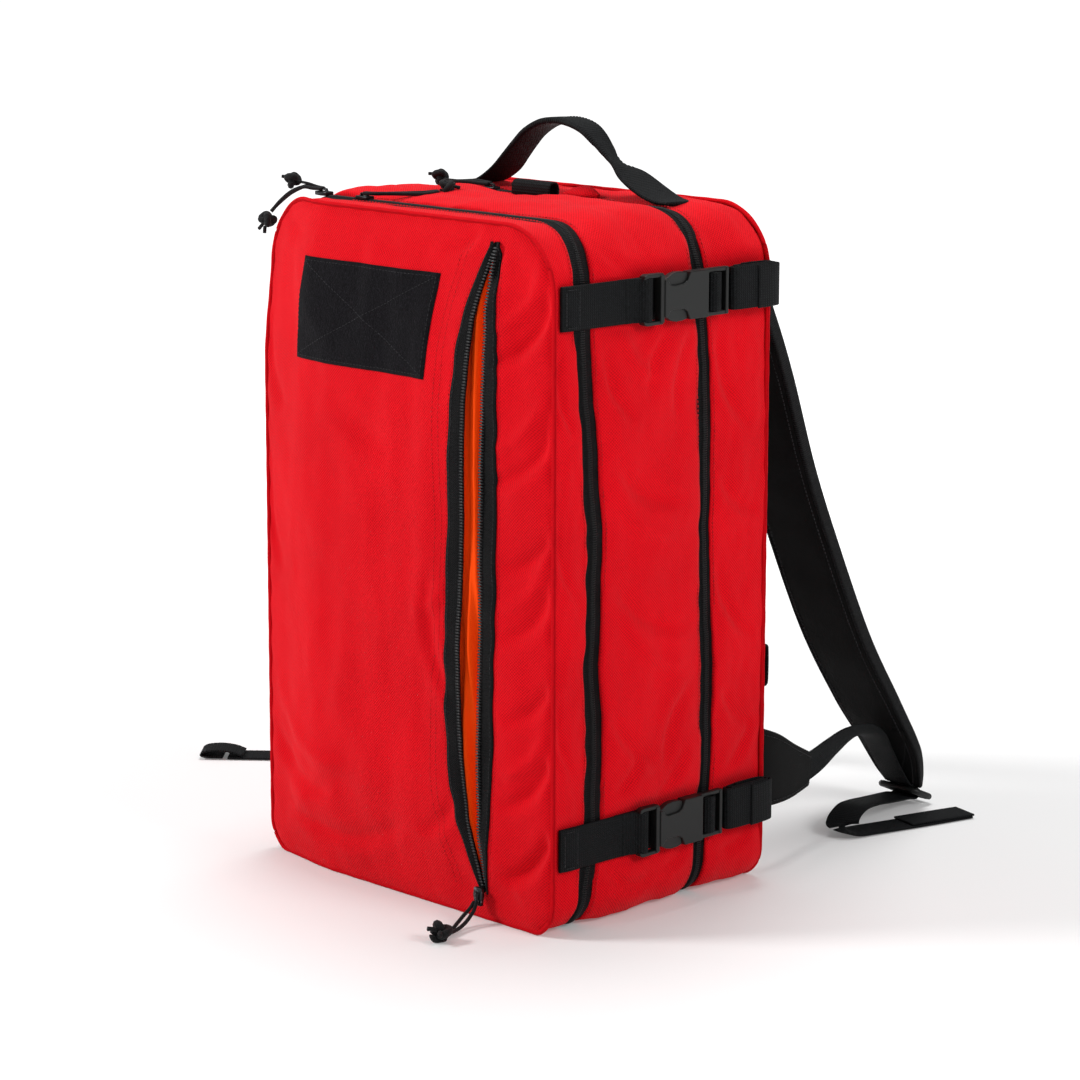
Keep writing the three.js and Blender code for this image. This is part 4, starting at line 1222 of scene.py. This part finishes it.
# ---- shoulder straps ----
# Routes in millimetres for the right side. Where a row has five numbers, they end with width and thickness.
STRAP_LINE = [
    (71, 111.5, 456, 60, 7), (71, 125, 449.5, 61, 9), (71, 145, 425, 61, 10), (72, 163, 390, 61, 10),
    (73, 181, 346, 61, 10), (75, 203, 280, 61, 10), (79, 224, 224, 61, 10), (86, 256, 146, 61, 10),
    (91, 288, 90, 61, 9), (94, 307, 60, 57, 8), (94, 317, 44, 53, 7), (94, 325, 28, 44, 6),
    (94, 331, 16, 34, 4),
]
STRAP_ROOT_LINE = [(72, 108.5, 466, 58, 3), (72, 110.8, 456, 60, 4.5), (72.3, 116, 452, 60, 6)]
STRAP_FOLD_LINE = [
    (94, 297, 68.5, 52, 1.6), (94, 305.5, 52.5, 44, 1.6), (94, 313, 39.5, 30, 1.6),
    (94, 316.5, 32.5, 22, 1.6),
]
WING_LINE = [(132, 111.2, 76, 62, 5), (138, 126, 73, 55, 5), (136, 150, 67, 42, 5), (127, 181, 61, 26, 4)]
WEBBING_LINE = [
    (134, 158, 65.5), (126, 182, 62.6), (121, 205, 66), (114, 232, 70), (107, 262, 70), (101, 284, 63),
    (97.5, 298, 50), (96, 310, 34), (95, 322, 19.4), (95, 328.4, 15.6), (95, 333.8, 12),
]
RIGHT_TAIL = [
    (95, 334.4, 8.6), (95.3, 330.4, 6.2), (96, 322, 7.6), (97.5, 310, 8.8), (102, 290, 11.5),
    (109, 266, 15.5), (115, 246, 17), (119, 232, 12.5), (121.4, 228.6, 6.4), (124, 234, 2.4),
    (128, 252, 1.6), (138, 290, 1.4), (149, 335.5, 1.4),
]
LEFT_TAIL = [
    (-95, 334.4, 8.6), (-95.3, 330.4, 6.0), (-97, 321, 5.4), (-101, 306, 4), (-108, 291, 2.6),
    (-118, 280, 1.7), (-130, 269, 1.4), (-190, 214.6, 1.4), (-256, 152.8, 1.4), (-322, 91, 1.4),
    (-371, 45, 1.4),
]
RIGHT_HEM = [(135, 282, 3.3), (141, 305, 3.2), (149.4, 337, 3.0)]
LEFT_HEM = [
    (-362, 53.5, 3.4), (-368, 48, 6.2), (-376, 40.6, 7.6), (-384, 33.2, 6.6), (-387, 30.4, 4.0),
    (-384, 33.2, 2.2), (-374, 42.4, 1.9),
]


def mirrored(line, side):
    return [(side * row[0], *row[1:]) for row in line]


def edge_seams(route, across, inset, lift):
    """Stitch rows along both edges of a tapered strap, on both its faces."""
    centres = route[:, :3]
    sideways, out = path_frame(centres, across)
    rows = []
    for edge in (-1, 1):
        for face in (-1, 1):
            line = centres + sideways * edge * (route[:, 3:4] / 2 - inset)
            line += out * face * (route[:, 4:5] / 2 + lift)
            rows.append((line, out * face))
    return rows


def build_shoulder_strap(side, name):
    """A padded strap with bound edges, its sewn root on the back and the folded cloth at its foot."""
    body = name + "_strap"
    across = (1, 0, 0)
    route = curve(mirrored(STRAP_LINE, side), 110)
    centres = route[:, :3]
    points, faces, cloth = strap_part(centres, across, route[:, 3], route[:, 4], crown=1.3 * MM)
    points = np.array(points)
    ripple = 1.3 * MM * vector_noise(points * (0.5, 1, 1), 38.0, 12.0 + side)
    ripple += 0.4 * MM * vector_noise(points, 110.0, 3.0)
    points = points + ripple[:, None] * np.array([0, 0.9, 0.4])
    pad = add_object(f"{name}_shoulder_pad", points, faces, MAT["strap"], cloth)
    sideways, out = path_frame(centres, across)
    bindings = []
    for edge in (-1, 1):
        line = centres + sideways * edge * (route[:, 3:4] / 2 - 0.8 * MM)
        bindings.append(strap_part(line, out, route[:, 4] * 1.02, 3.2 * MM))
    binding = add_parts(f"{name}_strap_binding", bindings, MAT["binding"])
    seams = edge_seams(route, across, 5.5 * MM, 0.9 * MM)
    add_stitches(f"{name}_strap_stitch", seams, "black_thread", body, thickness=0.6 * MM)
    folded = tapered_part(mirrored(STRAP_FOLD_LINE, side), across, 14)
    fold = add_parts(f"{name}_strap_fold", [folded], MAT["strap"])
    sewn = tapered_part(mirrored(STRAP_ROOT_LINE, side), across, 8)
    place(add_parts(f"{name}_strap_root", [sewn], MAT["strap"]), BACK_BODY)
    place(pad, body, "shoulder_strap_" + name)
    place(binding, body)
    place(fold, body)


def build_ladder_lock(side, name):
    """A moulded frame with two cross bars, lying tilted where the strap ends."""
    tilt = math.radians(-24)
    rows = [(-17, -10), (17, -10), (17, 10), (-17, 10)]
    ring = []
    for (x, y), (next_x, next_y) in zip(rows, rows[1:] + rows[:1]):
        ring += [(x + (next_x - x) * t, y + (next_y - y) * t) for t in (0.08, 0.3, 0.5, 0.7, 0.92)]

    def in_place(line, rise):
        x, y = np.array(line).T
        return np.stack([x + side * 94, 333 + y * math.cos(tilt), 9.6 + rise + y * math.sin(tilt)], -1) * MM

    parts = [tube_part(in_place(ring, 0.0), 2.5 * MM, 10, closed=True)]
    parts += [tube_part(in_place([(-16, y), (0, y), (16, y)], 0.4), 1.9 * MM) for y in (-2.5, 4.5)]
    lock = add_parts(name + "_ladder_lock", parts, MAT["plastic"])
    place(lock, name + "_lock", "ladder_lock_" + name)


def build_wing(side, name):
    """The padded triangle at the foot of the back that the adjuster webbing is sewn to."""
    up = (0, 0, 1)
    line = mirrored(WING_LINE, side)
    wing = add_parts(f"{name}_wing", [tapered_part(line, up, 24, crown=0.5 * MM)], MAT["strap"])
    place(wing, BACK_BODY, "strap_wing_" + name)
    seams = edge_seams(curve(line, 24), up, 4 * MM, 0.5 * MM)
    add_stitches(f"{name}_wing_stitch", seams, "black_thread", BACK_BODY)


def webbing_lean(route, stop):
    """Width direction of the adjuster webbing: turned at the wing, level at the lock, flat on the floor."""
    along = unit(np.gradient(route, axis=0))
    level = np.tile([1.0, 0.0, 0.0], (len(route), 1))
    flat = np.stack([along[:, 1], -along[:, 0], 0 * along[:, 0]], -1)
    flat = np.where(np.linalg.norm(flat, axis=1, keepdims=True) > 0.2, unit(flat), level)
    flat *= np.where(flat[:, :1] < 0, -1, 1)
    on_floor = smooth_step(stop, 13.0, 16.0)[:, None]
    at_wing = (1 - smooth_step(stop, 1.5, 6.0))[:, None]
    return unit(level * (1 - on_floor) + flat * on_floor + np.array([-0.75, 0, 1.3]) * at_wing)


def build_strap_webbing(side, name, tail, hem, hem_across):
    """One run of webbing: sewn to the wing, over to the ladder lock, through it, and along the floor."""
    stops = mirrored(WEBBING_LINE, side) + tail
    count = 330
    route = curve(stops, count)
    lean = webbing_lean(route, np.linspace(0, len(stops) - 1, count + 1))
    points, faces, cloth = strap_part(route, lean, 25 * MM, 1.7 * MM)
    piece = add_object(f"{name}_adjuster_webbing", points, faces, MAT["webbing"], cloth)
    end = webbing_run(f"{name}_adjuster_hem", hem, hem_across, 24.6, 1.6, 40)
    for part in (piece, end):
        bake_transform(part)
    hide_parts("strap_webbing_" + name)


# ---- the back, the linings and the fabric hinges ----
def flat_panel(name, y, inset, material, body, seed, bulge=0.0):
    """A slack cloth panel across the bag, set in from the outline."""
    z = np.linspace(inset + 1 * MM, HEIGHT - inset - 1 * MM, 70)[:, None]
    x = (half_width_at(z) - inset) * np.linspace(-1, 1, 48)
    x, y, z = np.broadcast_arrays(x, y, z)
    points = np.stack([x, y, z], -1)
    d = edge_distance(x, z)
    folds = vector_noise(points * (1, 1, 0.7), 20.0, seed).reshape(d.shape) * 1.4 * MM
    points[..., 1] += bulge * (1 - np.exp(-d / (20 * MM))) + folds * smooth_step(d, 0, 20 * MM)
    place(add_grid(name, points, MAT[material], points[..., [0, 2]]), body)


def fabric_hinge(which, centre):
    """The cloth strip that joins two sections along the left side."""
    index = np.flatnonzero((OUT_S > S_LEFT_LOW - 24 * MM) & (OUT_S < S_LEFT_HIGH + 54 * MM))
    across = np.linspace(-7, 7, 11)
    columns = [outline_point(centre + t * MM, 1.2 * MM - 0.012 * MM * t * t, index) for t in across]
    columns += [outline_point(centre + t * MM, -0.8 * MM, index) for t in across[::-1]]
    points = np.stack(columns, 1)
    cloth = np.stack([np.repeat(OUT_S[index][:, None], 22, 1), points[..., 1]], -1)
    piece = add_grid(which + "_fabric_hinge", points, MAT["red"], cloth, wrap=True)
    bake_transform(piece)


def build_back_pad():
    """Spacer-mesh back pad: two long cushions with an air channel between them and two cross grooves."""
    low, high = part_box("back_pad")
    u, v = np.meshgrid(np.linspace(0, 1, 66), np.linspace(0, 1, 96))
    x = low.x + (high.x - low.x) * u
    z = low.z + (high.z - low.z) * v
    edge = np.minimum(np.minimum(x - low.x, high.x - x), np.minimum(z - low.z, high.z - z))
    rise = (high.y - low.y) * (1 - np.exp(-np.maximum(edge, 0) / (5 * MM)))
    channel = 5.5 * MM * np.exp(-(x / (9 * MM)) ** 4)
    for height in (0.155, 0.288):
        channel = np.maximum(channel, 4 * MM * np.exp(-((z - height) / (6 * MM)) ** 4))
    swell = 1.6 * MM * np.sin(np.pi * v) * np.sin(2 * np.pi * u) ** 2
    top = np.stack([x, low.y + np.maximum(rise - channel + swell, 0.4 * MM), z], -1)
    skirt = np.concatenate([top[0], top[:, -1], top[-1, ::-1], top[::-1, 0]])
    foot = skirt.copy()
    foot[:, 1] = low.y - 1 * MM
    parts = [upright_part(top), upright_part(np.stack([skirt, foot]), wrap=True)]
    pad = place(add_parts("back_pad_mesh", parts, MAT["mesh"]), BACK_BODY, "back_pad")
    edging = tube_part(skirt[::2] + (0, 0.4 * MM, 0), 1.8 * MM, closed=True)
    place(add_parts("back_pad_binding", [edging], MAT["binding"]), BACK_BODY)


def build_side_tab(side, name):
    loop = [
        (146, 104.6, 141), (146, 108.6, 141.5), (146, 109.8, 146), (146, 109.8, 165), (146, 108.6, 169.5),
        (146, 104.6, 170),
    ]
    tab = webbing_run(f"{name}_tab", mirrored(loop, side), (1, 0, 0), 9, 1.8)
    place(tab, BACK_BODY, "side_tab_" + name)


def finish_hidden_nodes():
    """The stiffening sheet inside the back stays the CAD solid, with a material of its own."""
    sheet = bpy.data.objects["frame_sheet"]
    sheet.data.materials.clear()
    sheet.data.materials.append(MAT["sheet"])


make_camera()
make_studio()
build_pulls()
build_strap_webbing(1, "right", RIGHT_TAIL, RIGHT_HEM, (0.91, -0.41, 0))
build_strap_webbing(-1, "left", LEFT_TAIL, LEFT_HEM, (0.68, -0.73, 0))
build_sections()
build_front_panel()
build_pocket_lining()
pocket_tape("pocket_zip_left", -1, LEFT_BOW, "pocket_tape_left")
pocket_tape("pocket_zip_right", 1, RIGHT_BOW, "pocket_tape_right")
build_patch()
build_panel_stitches()
build_zips()
fabric_hinge("front", FRONT_ZIP)
fabric_hinge("rear", REAR_ZIP)
flat_panel("front_inner_lining", -87 * MM, 4 * MM, "orange", FRONT_BODY, seed=2.0)
flat_panel("back_inner_lining", 97 * MM, 4 * MM, "orange", BACK_BODY, seed=3.0)
flat_panel("back_panel", BACK - 1 * MM, 0.0, "red", BACK_BODY, seed=4.0, bulge=1.5 * MM)
build_back_pad()
for level, height in (("upper", UPPER_STRAP), ("lower", LOWER_STRAP)):
    build_compression_strap(level, height)
    build_buckle(level, height)
build_handle()
build_top_fold()
build_tab()
build_slider("front_zip_slider_a", "front_slider_a")
build_slider("front_zip_slider_b", "front_slider_b")
build_slider("rear_zip_slider", "rear_slider")
build_slider("pocket_slider", "pocket_zip_slider")
for side, name in ((1, "right"), (-1, "left")):
    build_shoulder_strap(side, name)
    build_ladder_lock(side, name)
    build_wing(side, name)
    build_side_tab(side, name)
finish_hidden_nodes()
